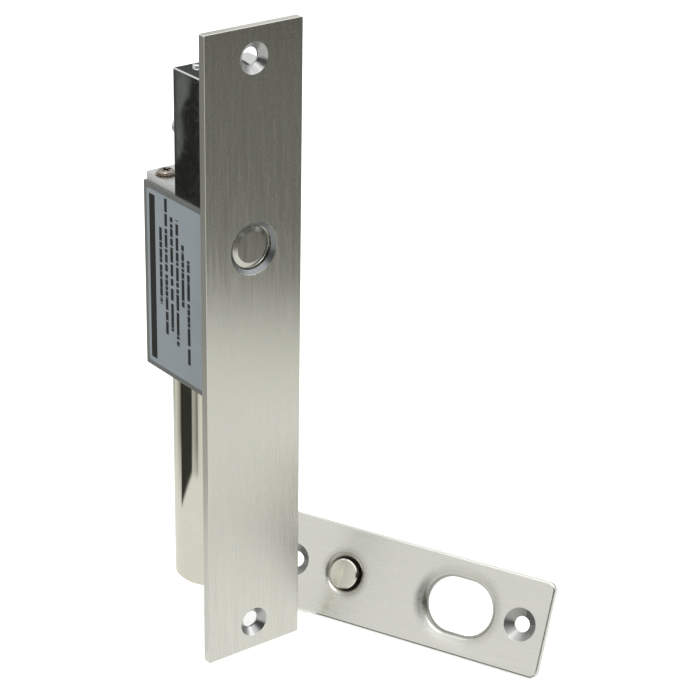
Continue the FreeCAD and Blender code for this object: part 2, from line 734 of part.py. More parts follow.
def make_coil():
    sleeve = D.guide_radius + 1.0
    low = COIL_FOOT
    high = POLE_FOOT
    flange = D.bobbin_flange
    rim = D.bobbin_radius
    bobbin = turned("coil_bobbin", [(D.guide_radius, low), (rim, low), (rim, low + flange), (sleeve, low + flange),
                                    (sleeve, high - flange), (rim, high - flange), (rim, high),
                                    (D.guide_radius, high)])
    leads = new_sketch(bobbin, "bobbin_leads", "XY_Plane")
    for start, end in LEAD_ROUTES:
        draw_circle(leads, start[0], start[1] - D.solenoid_y, 0.72)
    pocket(bobbin, leads, 19.5)
    export(place(bobbin, y=D.solenoid_y), "coil_bobbin")
    winding = turned("coil_winding", [(sleeve, low + flange), (D.winding_radius, low + flange),
                                      (D.winding_radius, high - flange), (sleeve, high - flange)])
    export(place(winding, y=D.solenoid_y), "coil_winding")
    guide = turned("guide_tube", [(D.plunger_bore, low + flange), (D.guide_radius, low + flange),
                                  (D.guide_radius, NIPPLE_TOP), (D.plunger_bore, NIPPLE_TOP)])
    export(place(guide, y=D.solenoid_y), "guide_tube")


def make_coil_leads():
    """Two enamelled leads from the coil through the case to the terminal block."""
    solids = []
    for low, high in LEAD_ROUTES:
        start = float(POLE_FOOT) - 1.0
        points = [V(low[0], low[1], start), V(low[0], low[1], -1.0), V(high[0], high[1], 12.0),
                  V(high[0], high[1], 56.2), V(-5.0, high[1], 56.2)]
        solids.append(tube_along(points, LEAD_RADIUS))
    export(shaped("coil_leads_pair", Part.makeCompound(solids)), "coil_leads")


def tube_along(points, radius):
    """Round wire through the points: straight runs joined by tangent arcs."""
    edges = []
    start = points[0]
    for before, corner, after in zip(points, points[1:], points[2:]):
        into = (corner - before).normalize()
        out = (after - corner).normalize()
        half_turn = into.getAngle(out) / 2
        cut_back = 0.45 * min((corner - before).Length, (after - corner).Length)
        bend = min(cut_back / math.tan(half_turn), 8.0)
        reach = bend * math.tan(half_turn)
        enter = corner - into * reach
        leave = corner + out * reach
        bisector = (out - into).normalize()
        middle = corner + bisector * (bend / math.cos(half_turn) - bend)
        edges.append(Part.LineSegment(start, enter).toShape())
        edges.append(Part.Arc(enter, middle, leave).toShape())
        start = leave
    edges.append(Part.LineSegment(start, points[-1]).toShape())
    path = Part.Wire(edges)
    first = (points[1] - points[0]).normalize()
    section = Part.Wire(Part.Circle(points[0], first, radius).toShape())
    solid = path.makePipeShell([section], True, True)
    expected = math.pi * radius ** 2 * path.Length
    if abs(solid.Volume - expected) > 0.02 * expected:
        raise RuntimeError("lead volume %.3f, expected %.3f" % (solid.Volume, expected))
    return solid


def make_core():
    """Fixed core on its stud, bottom pole, end cap and nut in the foot of the tube."""
    pole_thick = 4.5
    pole_foot = COIL_FOOT - pole_thick
    cap_foot = pole_foot - 3.0
    stud = 2.5
    core = turned("fixed_core", [(0, -D.tube_end + 0.6), (stud, -D.tube_end + 0.6), (stud, pole_foot),
                                 (D.plunger_bore, pole_foot), (D.plunger_bore, -D.core_top), (0, -D.core_top)])
    export(place(core, y=D.solenoid_y), "fixed_core")
    shim = turned("core_shim", [(0, -D.core_top), (4.6, -D.core_top), (4.6, -D.core_top + 0.3), (0, -D.core_top + 0.3)])
    export(place(shim, y=D.solenoid_y), "core_shim")
    pole = turned("bottom_pole", [(D.plunger_bore, pole_foot), (TUBE_BORE, pole_foot), (TUBE_BORE, COIL_FOOT),
                                  (D.plunger_bore, COIL_FOOT)])
    export(place(pole, y=D.solenoid_y), "bottom_pole")
    cap = turned("end_cap", [(stud, cap_foot), (TUBE_BORE, cap_foot), (TUBE_BORE, pole_foot), (stud, pole_foot)])
    export(place(cap, y=D.solenoid_y), "end_cap")
    nut = new_body("core_nut")
    outline = new_sketch(nut, "core_nut_outline", "XY_Plane")
    angles = [math.radians(60 * k) for k in range(6)]
    draw_outline(outline, [(4.6 * math.cos(a), 4.6 * math.sin(a)) for a in angles])
    draw_circle(outline, 0, 0, stud)
    pad(nut, outline, 3.0)
    export(place(nut, 0, D.solenoid_y, cap_foot - 3.0), "core_nut")


def make_plunger():
    """Plunger with a fork at the top for the lever, and the return spring round it."""
    radius = D.plunger_radius
    foot = -D.plunger_foot
    groove = D.collar_foot + D.collar_thick
    ring = D.ring_thick
    neck = 4.3
    bevel = 0.6
    body = turned("plunger", [(0, foot), (radius - bevel, foot), (radius, foot + bevel), (radius, groove),
                              (neck, groove), (neck, groove + ring), (radius, groove + ring),
                              (radius, D.plunger_top - bevel), (radius - bevel, D.plunger_top), (0, D.plunger_top)])
    fork = new_sketch(body, "plunger_fork", "XZ_Plane")
    half = D.fork_gap / 2
    draw_outline(fork, rectangle(-half, groove + ring + 0.1, half, D.plunger_top + 1))
    cut = pocket(body, fork, 20.0)
    cut.Midplane = True
    cross = new_sketch(body, "plunger_cross_hole", "YZ_Plane")
    draw_circle(cross, 0, PLUNGER_PIN_Z, D.plunger_pin_radius)
    cut = pocket(body, cross, 20.0)
    cut.Midplane = True
    export(place(body, y=D.solenoid_y), "plunger")
    pin = rod("plunger_pin_rod", D.plunger_pin_radius, 9.4, (-4.7, D.solenoid_y, PLUNGER_PIN_Z), TO_RIGHT)
    export(pin, "plunger_pin")
    collar = turned("spring_collar", [(radius, D.collar_foot), (7.4, D.collar_foot), (7.4, groove), (radius, groove)])
    export(place(collar, y=D.solenoid_y), "spring_collar")
    circlip = turned("collar_ring", [(neck, groove), (6.4, groove), (6.4, groove + ring), (neck, groove + ring)])
    gap = new_sketch(circlip, "collar_ring_gap", "XY_Plane")
    draw_outline(gap, rectangle(-1.0, -8.0, 1.0, -3.0))
    pocket(circlip, gap, 10.0, backward=True)
    export(place(circlip, y=D.solenoid_y), "collar_ring")


def make_return_spring():
    """Compression spring between the solenoid nipple and the plunger's collar."""
    wire = float(D.spring_wire)
    radius = float(D.spring_radius)
    low = float(NIPPLE_TOP) + wire
    high = float(D.collar_foot) - wire
    pitch = (high - low) / float(D.spring_turns)
    path = Part.makeHelix(pitch, high - low, radius)
    section = Part.Wire(Part.Circle(V(radius, 0, 0), Y_AXIS, wire).toShape())
    spring = Part.Wire(path.Edges).makePipeShell([section], True, True)
    feature = shaped("spring_coil", spring)
    export(place(feature, 0, D.solenoid_y, low), "return_spring")


# ---------------------------------------------------------------- bolt and lever
def make_bolt():
    """Round bolt with a shallow bevel round its flat face and a forked tail."""
    radius = D.bolt_radius
    bevel = D.bolt_nose_bevel
    length = D.bolt_length
    body = turned("bolt", [(0, 0), (radius, 0), (radius, length - bevel), (D.bolt_face_radius, length), (0, length)])
    fork = new_sketch(body, "bolt_fork", "XZ_Plane")
    half = D.fork_gap / 2
    draw_outline(fork, rectangle(-half, -1, half, 12.2))
    cut = pocket(body, fork, 20.0)
    cut.Midplane = True
    cross = new_sketch(body, "bolt_cross_hole", "YZ_Plane")
    pin_height = FRONT + D.bolt_recess + length - D.bolt_pin_y
    draw_circle(cross, 0, pin_height, D.bolt_pin_radius)
    cut = pocket(body, cross, 20.0)
    cut.Midplane = True
    dress(body, "Chamfer", 0.5, lambda edge, middle: is_circle(edge, radius) and abs(middle.z) < 1e-6)
    export(place(body, 0, FRONT + D.bolt_recess + length, D.bolt_height, TO_FRONT), "bolt")
    pin = rod("bolt_pin_rod", D.bolt_pin_radius, 12.4, (-6.2, D.bolt_pin_y, D.bolt_height), TO_RIGHT)
    export(pin, "bolt_pin")


def make_bolt_bush():
    """Flanged bush in the front wall of the case that guides the bolt."""
    bore = D.bush_bore_radius
    wall = D.case_wall
    body = turned("bolt_bush", [(bore, 0), (D.bush_radius, 0), (D.bush_radius, wall), (D.bush_flange_radius, wall),
                                (D.bush_flange_radius, wall + D.bush_flange), (bore, wall + D.bush_flange)])
    export(place(body, 0, 0, D.bolt_height, TO_BACK), "bolt_bush")


def tapered_link(start, end, start_radius, end_radius):
    """Flat shape round two circles in the YZ plane, as one solid of the lever's thickness."""
    thick = float(D.lever_thick)
    span = end - start
    lean = math.acos((start_radius - end_radius) / span.Length)
    heading = math.atan2(span.z, span.y)
    corners = []
    for centre, radius, sides in ((start, start_radius, (1, -1)), (end, end_radius, (-1, 1))):
        for side in sides:
            angle = heading + side * lean
            corners.append(centre + V(0, math.cos(angle), math.sin(angle)) * radius)
    web = Part.Face(Part.makePolygon(corners + corners[:1])).extrude(V(thick, 0, 0))
    discs = [Part.makeCylinder(radius, thick, centre, X_AXIS)
             for centre, radius in ((start, start_radius), (end, end_radius))]
    return web.fuse(discs)


def make_lever():
    """Bell crank: the plunger pulls its front arm down, its upper arm pushes the bolt out.

    The upper slot is an arc through three places of the bolt's pin: drawn back, half way and out.
    """
    thick = float(D.lever_thick)
    height = float(D.bolt_height - D.lever_z)
    swing = lever_swing()
    places = []
    for share in (0.0, 0.5, 1.0):
        y = float(D.bolt_pin_y - D.lever_y) - share * float(D.bolt_throw)
        places.append(FreeCAD.Rotation(X_AXIS, -share * math.degrees(swing)).multVec(V(0, y, height)))
    hub = V(0, 0, 0)
    reach = float(D.lever_y - D.solenoid_y)
    tilt = swing / 2
    toe = V(0, -math.cos(tilt), math.sin(tilt))
    toe_inner = toe * reach
    toe_outer = toe * (reach / math.cos(tilt))
    solid = tapered_link(hub, places[0], float(D.lever_hub), 3.5)
    for part in (tapered_link(places[0], places[1], 3.5, 3.4), tapered_link(places[1], places[2], 3.4, 3.3),
                 tapered_link(hub, toe_outer, float(D.lever_hub), 2.5)):
        solid = solid.fuse(part)
    half_slot = float(D.bolt_pin_radius + D.bolt_pin_play)
    solid = solid.cut(arc_slot(places, half_slot, thick))
    toe_slot = float(D.plunger_pin_radius + D.plunger_pin_play)
    for centre in (toe_inner, toe_outer):
        solid = solid.cut(Part.makeCylinder(toe_slot, thick, centre, X_AXIS))
    bore = float(D.lever_pin_radius + D.lever_play)
    solid = solid.cut(Part.makeCylinder(bore, thick, hub, X_AXIS)).removeSplitter()
    lever = shaped("lever_plate", solid)
    export(place(lever, -D.lever_thick / 2, D.lever_y, D.lever_z), "lever")


def arc_slot(places, half_width, thick):
    """Slot of even width along the arc through three places, as a cutting solid."""
    centre = Part.Arc(*places).toShape().Curve.Center
    middle_radius = (places[0] - centre).Length
    outer, inner = middle_radius + half_width, middle_radius - half_width

    def on_ring(place_, radius):
        return centre + (place_ - centre).normalize() * radius

    first, middle, last = places
    wide = [on_ring(spot, outer) for spot in places]
    narrow = [on_ring(spot, inner) for spot in places]
    edges = [Part.Arc(*wide), Part.LineSegment(wide[2], narrow[2]), Part.Arc(*reversed(narrow)),
             Part.LineSegment(narrow[0], wide[0])]
    band = Part.Face(Part.Wire([edge.toShape() for edge in edges])).extrude(V(thick, 0, 0))
    ends = [Part.makeCylinder(half_width, thick, spot, X_AXIS) for spot in (first, last)]
    return band.fuse(ends)


def lever_swing():
    """Angle in radians that the lever turns as the bolt goes all the way out."""
    height = float(D.bolt_height - D.lever_z)
    drawn = float(D.lever_y - D.bolt_pin_y)
    return math.atan2(drawn + float(D.bolt_throw), height) - math.atan2(drawn, height)


def make_pivot():
    """Lever pivot pressed into the case boss, with the clip that keeps the lever on it."""
    free_end = 3.6
    length = D.case_half_width - 0.6 + free_end
    pin = rod("pivot_rod", D.lever_pin_radius, length, (-free_end, D.lever_y, D.lever_z), TO_RIGHT)
    groove_x = -3.0
    ring = turned("pivot_groove", [(1.3, 0), (3.0, 0), (3.0, 0.6), (1.3, 0.6)])
    place(ring, groove_x, D.lever_y, D.lever_z, TO_RIGHT)
    export(cut_all("pivot_cut", pin, [ring]), "pivot_pin")
    clip = turned("pivot_clip", [(1.3, 0), (3.0, 0), (3.0, 0.6), (1.3, 0.6)])
    gap = new_sketch(clip, "pivot_clip_gap", "XY_Plane")
    draw_outline(gap, rectangle(-0.9, -4.0, 0.9, -1.0))
    pocket(clip, gap, 2.0, backward=True)
    export(place(clip, groove_x, D.lever_y, D.lever_z, TO_RIGHT), "pivot_clip")


# ---------------------------------------------------------------- strike plate
def strike_rotation():
    lean = FreeCAD.Rotation(X_AXIS, -float(D.strike_lean))
    return FreeCAD.Rotation(Z_AXIS, float(D.strike_turn)).multiply(lean)


def stand_strike(piece):
    """Stand a piece of the strike on its long edge, turned and leaning back."""
    foot = -D.plate_height.value / 2 + D.strike_thick.value * math.sin(math.radians(D.strike_lean.value))
    turn = strike_rotation()
    own = piece.Placement
    base = FreeCAD.Placement(V(D.strike_near_x.value, D.strike_near_y.value, foot), turn)
    piece.Placement = base.multiply(own)
    return piece


def make_strike_plate():
    """Pressed plate with dimpled screw holes, a rolled bolt opening and a rolled magnet seat."""
    thick = D.strike_thick
    body = flat("strike_plate", "XZ_Plane", rectangle(-D.strike_length, 0, 0, D.strike_width), thick, backward=True)
    dress(body, "Fillet", D.strike_corner, lambda edge, middle: is_line_along(edge, Y_AXIS))
    dress(body, "Fillet", D.strike_edge, lambda edge, middle: abs(middle.y) < 1e-6)
    mid = D.strike_width / 2
    screw_places = (-D.strike_screw_inset, -D.strike_length + D.strike_screw_inset)
    rims = new_sketch(body, "strike_rims", lift=-0.5)
    for x in screw_places:
        draw_circle(rims, x, mid, D.strike_screw_radius + D.strike_sink_width + 0.6)
    draw_circle(rims, -D.magnet_inset, mid, D.magnet_hole_radius + D.magnet_rim + 0.6)
    draw_slot(rims, -D.keeper_inset, mid, D.keeper_radius + D.keeper_rim + 0.6, D.keeper_slot)
    pad(body, rims, thick + D.strike_dimple - 0.5, backward=True)
    holes = new_sketch(body, "strike_holes")
    for x in screw_places:
        draw_circle(holes, x, mid, D.strike_screw_radius)
    draw_circle(holes, -D.magnet_inset, mid, D.magnet_hole_radius)
    draw_slot(holes, -D.keeper_inset, mid, D.keeper_radius, D.keeper_slot)
    pocket(body, holes, thick + D.strike_dimple)
    dress(body, "Chamfer", D.strike_sink_width,
          lambda edge, middle: is_circle(edge, D.strike_screw_radius) and abs(middle.y) < 1e-6,
          depth=D.strike_sink_depth)
    dress(body, "Fillet", D.magnet_rim,
          lambda edge, middle: is_circle(edge, D.magnet_hole_radius) and abs(middle.y) < 1e-6)
    dish_keeper(body, mid)
    stand_strike(body)
    export(body, "strike_plate")


def dish_keeper(body, mid):
    """Draw the face in towards the bolt opening in a shallow dish that rolls over into its wall."""
    opening = float(D.keeper_radius)
    rim = opening + float(D.keeper_dish_width)
    dress(body, "Chamfer", D.keeper_dish_width,
          lambda edge, middle: is_slot_edge(edge, middle, mid, opening, 0.0),
          depth=D.keeper_dish_depth)
    dress(body, "Fillet", D.keeper_rim,
          lambda edge, middle: is_slot_edge(edge, middle, mid, opening, float(D.keeper_dish_depth)))
    dress(body, "Fillet", D.keeper_dish_blend,
          lambda edge, middle: is_slot_edge(edge, middle, mid, rim, 0.0))


def is_slot_edge(edge, middle, mid, radius, depth):
    """True for the arcs and straights of a slot outline of this radius at this depth below the face."""
    if abs(middle.y - depth) > 1e-6:
        return False
    return is_circle(edge, radius) or abs(abs(middle.z - float(mid)) - radius) < 0.01


def draw_slot(sketch, x, y, radius, length):
    """Obround outline: two half circles of the radius, length apart between their centres."""
    first = sketch.GeometryCount
    half = float(length) / 2
    cx, cy, r = float(x), float(y), float(radius)
    right = Part.ArcOfCircle(Part.Circle(V(cx + half, cy, 0), V(0, 0, 1), r), -math.pi / 2, math.pi / 2)
    left = Part.ArcOfCircle(Part.Circle(V(cx - half, cy, 0), V(0, 0, 1), r), math.pi / 2, 3 * math.pi / 2)
    top = Part.LineSegment(V(cx + half, cy + r, 0), V(cx - half, cy + r, 0))
    foot = Part.LineSegment(V(cx - half, cy - r, 0), V(cx + half, cy - r, 0))
    sketch.addGeometry([right, top, left, foot])
    for i in range(4):
        sketch.addConstraint(Sketcher.Constraint("Tangent", first + i, 2, first + (i + 1) % 4, 1))
    fix_point(sketch, first, 3, x + length / 2, y)
    fix_point(sketch, first + 2, 3, x - length / 2, y)
    limit = sketch.addConstraint(Sketcher.Constraint("Radius", first, r))
    sketch.setExpression("Constraints[%d]" % limit, radius.formula)


def make_strike_magnet():
    """Nickel-plated disc magnet, proud of the strike, in a holder behind the plate."""
    mid = D.strike_width / 2
    back = D.strike_thick + D.strike_dimple
    seat = 0.8
    radius = D.magnet_radius
    bevel = 0.4
    length = D.magnet_proud + back + seat
    magnet = turned("strike_magnet", [(0, 0), (radius, 0), (radius, length - bevel), (radius - bevel, length),
                                      (0, length)])
    place(magnet, (-D.magnet_inset).value, (back + seat).value, mid.value, TO_FRONT)
    export(stand_strike(magnet), "strike_magnet")
    holder = turned("magnet_holder", [(0, 0), (7.4, 0), (7.4, 1.8), (radius, 1.8), (radius, 1.8 - seat),
                                      (0, 1.8 - seat)])
    place(holder, (-D.magnet_inset).value, back.value + 1.8, mid.value, TO_FRONT)
    export(stand_strike(holder), "magnet_holder")


PLUNGER_PIN_Z = D.lever_z + (D.lever_y - D.solenoid_y) * math.tan(lever_swing() / 2)

make_face_plate()
make_plate_studs()
make_case_body()
make_side_cover()
make_rating_label()
make_top_screws()
make_housing()
make_wire_grommet()
make_board_bracket()
make_board()
make_reed_switch()
make_solenoid_shell()
make_coil()
make_coil_leads()
make_core()
make_plunger()
make_return_spring()
make_bolt()
make_bolt_bush()
make_lever()
make_pivot()
make_strike_plate()
make_strike_magnet()
doc.recompute()


def check_document():
    """Stop on any object that failed, and on any sub-part that is empty or not valid."""
    for obj in doc.Objects:
        if "Invalid" in obj.State or "Error" in obj.State:
            raise RuntimeError("%s is in state %s" % (obj.Name, obj.State))
    for obj in exported:
        if obj.Shape.isNull() or not obj.Shape.isValid() or not obj.Shape.Solids:
            raise RuntimeError("%s has no valid solid" % obj.Label)


check_document()
print("bolt throw %.2f mm, lever swing %.3f degrees, plunger stroke %.3f mm"
      % (D.bolt_throw.value, math.degrees(lever_swing()), 2 * (PLUNGER_PIN_Z - D.lever_z).value))
os.makedirs("parts", exist_ok=True)
for obj in exported:
    obj.Shape.exportStep("parts/%s.step" % obj.Label)
    print("%-22s solids %d  volume %10.2f mm3" % (obj.Label, len(obj.Shape.Solids), obj.Shape.Volume))
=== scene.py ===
"""Looks of the mortice solenoid bolt lock and its magnet strike plate.

Frame: metres, +Z up the face plate, +Y into the door frame, +X to the right seen from the front.
"""
import json
import math

import bpy
from mathutils import Euler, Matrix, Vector


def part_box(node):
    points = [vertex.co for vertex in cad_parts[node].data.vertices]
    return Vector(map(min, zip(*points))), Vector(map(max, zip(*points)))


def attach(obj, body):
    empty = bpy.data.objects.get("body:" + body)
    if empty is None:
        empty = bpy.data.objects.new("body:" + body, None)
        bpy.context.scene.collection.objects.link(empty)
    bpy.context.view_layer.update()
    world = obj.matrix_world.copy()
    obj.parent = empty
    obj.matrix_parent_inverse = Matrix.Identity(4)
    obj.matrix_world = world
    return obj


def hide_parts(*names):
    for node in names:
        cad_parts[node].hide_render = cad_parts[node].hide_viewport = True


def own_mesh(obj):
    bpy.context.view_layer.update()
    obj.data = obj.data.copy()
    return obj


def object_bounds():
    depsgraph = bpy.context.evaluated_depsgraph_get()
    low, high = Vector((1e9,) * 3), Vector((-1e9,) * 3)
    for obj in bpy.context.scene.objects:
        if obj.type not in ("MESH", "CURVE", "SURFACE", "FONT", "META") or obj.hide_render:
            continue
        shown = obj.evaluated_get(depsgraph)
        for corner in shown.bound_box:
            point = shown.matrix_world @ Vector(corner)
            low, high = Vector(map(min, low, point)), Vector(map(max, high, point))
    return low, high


MM = 0.001

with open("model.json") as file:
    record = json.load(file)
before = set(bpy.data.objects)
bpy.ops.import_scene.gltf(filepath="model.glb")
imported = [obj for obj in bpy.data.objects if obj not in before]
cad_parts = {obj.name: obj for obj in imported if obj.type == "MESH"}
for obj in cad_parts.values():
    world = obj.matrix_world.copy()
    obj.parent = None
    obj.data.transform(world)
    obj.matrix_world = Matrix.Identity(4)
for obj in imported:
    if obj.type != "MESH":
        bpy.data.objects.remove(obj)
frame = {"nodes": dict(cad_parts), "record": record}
nodes = frame["nodes"]
cad_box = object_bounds()


# ---------------------------------------------------------------- shader building blocks
class Nodes:
    """Short ways to add linked nodes to a shader tree."""

    def __init__(self, tree):
        self.tree = tree

    def node(self, kind, **settings):
        node = self.tree.nodes.new("ShaderNode" + kind)
        for key, value in settings.items():
            setattr(node, key, value)
        return node

    def link(self, source, target):
        self.tree.links.new(source, target)

    def feed(self, value, socket):
        """Give a socket a number, a colour or another socket's result."""
        if isinstance(value, (int, float)):
            socket.default_value = value
        elif isinstance(value, tuple):
            socket.default_value = (*value, 1.0)
        else:
            self.link(value, socket)

    def math(self, operation, *values):
        node = self.node("Math", operation=operation)
        for value, socket in zip(values, node.inputs):
            self.feed(value, socket)
        return node.outputs["Value"]

    def vector(self, operation, first, second):
        """Vector from an operation on a linked vector and a constant one."""
        node = self.node("VectorMath", operation=operation)
        self.link(first, node.inputs[0])
        node.inputs[1].default_value = second
        return node.outputs["Vector"]

    def dot(self, vector, direction):
        """How far a linked vector goes along a constant direction."""
        node = self.node("VectorMath", operation="DOT_PRODUCT")
        self.link(vector, node.inputs[0])
        node.inputs[1].default_value = direction
        return node.outputs["Value"]

    def length(self, vector):
        node = self.node("VectorMath", operation="LENGTH")
        self.link(vector, node.inputs[0])
        return node.outputs["Value"]

    def axes(self, vector):
        """The three coordinates one by one."""
        node = self.node("SeparateXYZ")
        self.link(vector, node.inputs["Vector"])
        return node.outputs["X"], node.outputs["Y"], node.outputs["Z"]

    def ramp(self, value, *stops):
        """Colour ramp over (position, colour or grey) stops."""
        ramp = self.node("ValToRGB")
        elements = ramp.color_ramp.elements
        while len(elements) < len(stops):
            elements.new(0.5)
        for element, (position, colour) in zip(elements, stops):
            element.position = position
            element.color = (*colour, 1.0) if isinstance(colour, tuple) else (colour, colour, colour, 1.0)
        self.link(value, ramp.inputs["Fac"])
        return ramp.outputs["Color"]

    def span(self, value, low, high, start=0.0, end=1.0, interpolation="LINEAR"):
        """Value mapped from start..end to low..high, held at its ends."""
        node = self.node("MapRange", clamp=True, interpolation_type=interpolation)
        for key, number in (("From Min", start), ("From Max", end), ("To Min", low), ("To Max", high)):
            node.inputs[key].default_value = number
        self.link(value, node.inputs["Value"])
        return node.outputs["Result"]

    def mix(self, factor, first, second, blend="MIX"):
        """Two colours mixed; a colour mix has its factor and colours at sockets 0, 6 and 7."""
        node = self.node("Mix", data_type="RGBA", blend_type=blend)
        for value, number in ((factor, 0), (first, 6), (second, 7)):
            self.feed(value, node.inputs[number])
        return node.outputs[2]


class Shader(Nodes):
    """The look of one surface: a material built around a Principled BSDF."""

    def __init__(self, name):
        self.material = bpy.data.materials.new(name)
        self.material.use_nodes = True
        super().__init__(self.material.node_tree)
        self.bsdf = self.tree.nodes["Principled BSDF"]
        self.coords = self.node("TexCoord").outputs["Object"]

    def set(self, **sockets):
        """Constant values straight on the Principled BSDF: set(Metallic=1.0, Coat_Weight=0.2)."""
        for key, value in sockets.items():
            self.bsdf.inputs[key.replace("_", " ")].default_value = value
        return self

    def turned(self, rotation):
        """Object coordinates seen from a frame turned by this rotation."""
        mapping = self.node("Mapping", vector_type="TEXTURE")
        mapping.inputs["Rotation"].default_value = rotation
        self.link(self.coords, mapping.inputs["Vector"])
        return mapping.outputs["Vector"]

    def from_axis(self, centre, axis):
        """Distance from a line through centre along a unit axis, and the height above centre along it."""
        offset = self.vector("SUBTRACT", self.coords, centre)
        distance = self.length(self.vector("CROSS_PRODUCT", offset, axis))
        return distance, self.dot(offset, axis)

    def across_scratches(self, direction, amount):
        """Stretch highlights along this world direction, which lies across the scratches."""
        tangent = self.node("CombineXYZ")
        for socket, number in zip(tangent.inputs, direction):
            socket.default_value = number
        self.link(tangent.outputs["Vector"], self.bsdf.inputs["Tangent"])
        self.set(Anisotropic=amount)

    def stretched(self, scale, coords):
        """Coordinates with more noise cells per metre on some axes than on others."""
        mapping = self.node("Mapping", vector_type="POINT")
        mapping.inputs["Scale"].default_value = scale
        self.link(coords, mapping.inputs["Vector"])
        return mapping.outputs["Vector"]

    def noise(self, scale=1.0, coords=None, detail=3.0, roughness=0.55, stretch=None, distortion=0.0):
        """Noise of scale cells per metre, or stretch cells per metre on each axis."""
        where = coords or self.coords
        noise = self.node("TexNoise")
        noise.inputs["Scale"].default_value = scale
        noise.inputs["Detail"].default_value = detail
        noise.inputs["Roughness"].default_value = roughness
        noise.inputs["Distortion"].default_value = distortion
        self.link(self.stretched(stretch, where) if stretch else where, noise.inputs["Vector"])
        return noise.outputs["Fac"]

    def bump(self, height, depth):
        """Bump of this depth in metres; several calls add up."""
        node = self.node("Bump")
        node.inputs["Distance"].default_value = depth
        self.link(height, node.inputs["Height"])
        previous = self.bsdf.inputs["Normal"].links
        if previous:
            self.link(previous[0].from_socket, node.inputs["Normal"])
        self.link(node.outputs["Normal"], self.bsdf.inputs["Normal"])

    def colour(self, source):
        self.link(source, self.bsdf.inputs["Base Color"])

    def rough(self, source):
        self.link(source, self.bsdf.inputs["Roughness"])


def scaled(colour, factor):
    """Colour made darker or brighter, at most white."""
    return tuple(min(1.0, channel * factor) for channel in colour)


# Noise cells per metre across and along the brushing.
SCRATCHES = (3600.0, 110.0)
STREAKS = (1300.0, 34.0)
SCRATCH_SHARE = 0.65
SCRATCH_DEPTH = 2.5e-7
HIGHLIGHT_STRETCH = 0.55
# Sides that face +-X more squarely than this are cut edges, which are smoother than the brushed faces.
CUT_EDGE_FACING = 0.95
EDGE_SMOOTHNESS = 0.45
# The cutter's rings in a sink, in radians per metre from its axis.
RING_PITCH = 22000.0
# A sink's mask starts this far in front of its mount's place, so that the piece's back stays brushed.
SINK_FRONT = 0.02 * MM
# Painted shade round the strike's bolt opening and magnet seat, standing in for their pressed dishes'
# shading.
# It is spared at the lower far side, which catches the light: a place's lean is how far it is to the near
# end and up, and the shade goes from one lean to the other.
PAINTED_SHADE_GREY = (0.40, 0.40, 0.39)
LEAN_NEAR = 0.6
LEAN_UP = 0.8
OPENING_HALF_SLOT = 2.5 * MM
OPENING_RADIUS = 8.75 * MM
RIM_START = 0.4 * MM
RIM_END = 1.4 * MM
DISH_SHADE = 0.5
DISH_REACH = 4.1 * MM
DISH_LEAN = (-10.0 * MM, -5.0 * MM)
DISH_LEAST = 0.15
RIM_LEAN = (-8.0 * MM, 8.0 * MM)
RIM_LEAST = 0.55
SEAT_SHADE = 0.62
SEAT_RADIUS = 6.1 * MM
SEAT_REACH = 2.9 * MM
SEAT_LEAN = (-6.5 * MM, -4.0 * MM)


def brushed_stretch(cells, along):
    """Noise cells per metre on each axis, for metal brushed along one of them."""
    across_cells, along_cells = cells
    return tuple(along_cells if axis == along else across_cells for axis in range(3))


def brushed_steel(name, colour, along, turn=(0.0, 0.0, 0.0), rough=(0.22, 0.30), across=None, contrast=0.07,
                  sinks=(), shade_painted_at=None):
    """Steel brushed along one axis (0, 1 or 2) of a frame turned by turn: short fine scratches.

    Each sink is (centre, axis, radius, colour, roughness) of a bevelled hole that shows the cutter's rings;
    its colour, darker than the steel round it, is painted shade and dark reflection of the recess.
    The last argument holds the middles, in the turned frame, of a pressed opening and a pressed seat;
    shade is painted into the colour round them, in place of their dishes' shading.
    """
    look = Shader(name).set(Metallic=1.0)
    where = look.turned(turn)
    scratches = look.noise(coords=where, roughness=0.7, stretch=brushed_stretch(SCRATCHES, along))
    streaks = look.noise(coords=where, stretch=brushed_stretch(STREAKS, along))
    cloud = look.noise(28.0, where)
    fine = look.math("MULTIPLY", scratches, SCRATCH_SHARE)
    tone = look.math("ADD", fine, look.math("MULTIPLY", streaks, 1.0 - SCRATCH_SHARE))
    dark = scaled(colour, 1.0 - contrast)
    bright = scaled(colour, 1.0 + contrast)
    tinted = look.ramp(tone, (0.34, dark), (0.50, colour), (0.66, bright))
    surface = look.mix(look.span(cloud, 0.0, 0.5, 0.4, 0.7), tinted, scaled(colour, 0.97))
    roughness = look.span(tone, rough[0], rough[1], 0.35, 0.65)
    for centre, axis, radius, sink_shade_colour, sink_roughness in sinks:
        distance, height = look.from_axis(centre, axis)
        near = look.math("LESS_THAN", distance, radius)
        inside = look.math("MULTIPLY", near, look.math("GREATER_THAN", height, SINK_FRONT))
        surface = look.mix(inside, surface, cutter_rings(look, distance, sink_shade_colour))
        roughness = look.math("MAXIMUM", roughness, look.math("MULTIPLY", inside, sink_roughness))
    # Shade painted into the colour round the strike's opening and magnet seat.
    if shade_painted_at:
        opening, seat = shade_painted_at
        shade = look.math("MAXIMUM", opening_painted_shade(look, where, opening), seat_painted_shade(look, where, seat))
        surface = look.mix(shade, surface, PAINTED_SHADE_GREY, blend="MULTIPLY")
    sideways, _, _ = look.axes(look.node("NewGeometry").outputs["Normal"])
    cut_edge = look.math("GREATER_THAN", look.math("ABSOLUTE", sideways), CUT_EDGE_FACING)
    roughness = look.math("MULTIPLY", roughness, look.span(cut_edge, 1.0, EDGE_SMOOTHNESS))
    look.colour(surface)
    look.rough(roughness)
    look.bump(scratches, SCRATCH_DEPTH)
    if across:
        look.across_scratches(across, HIGHLIGHT_STRETCH)
    return look.material


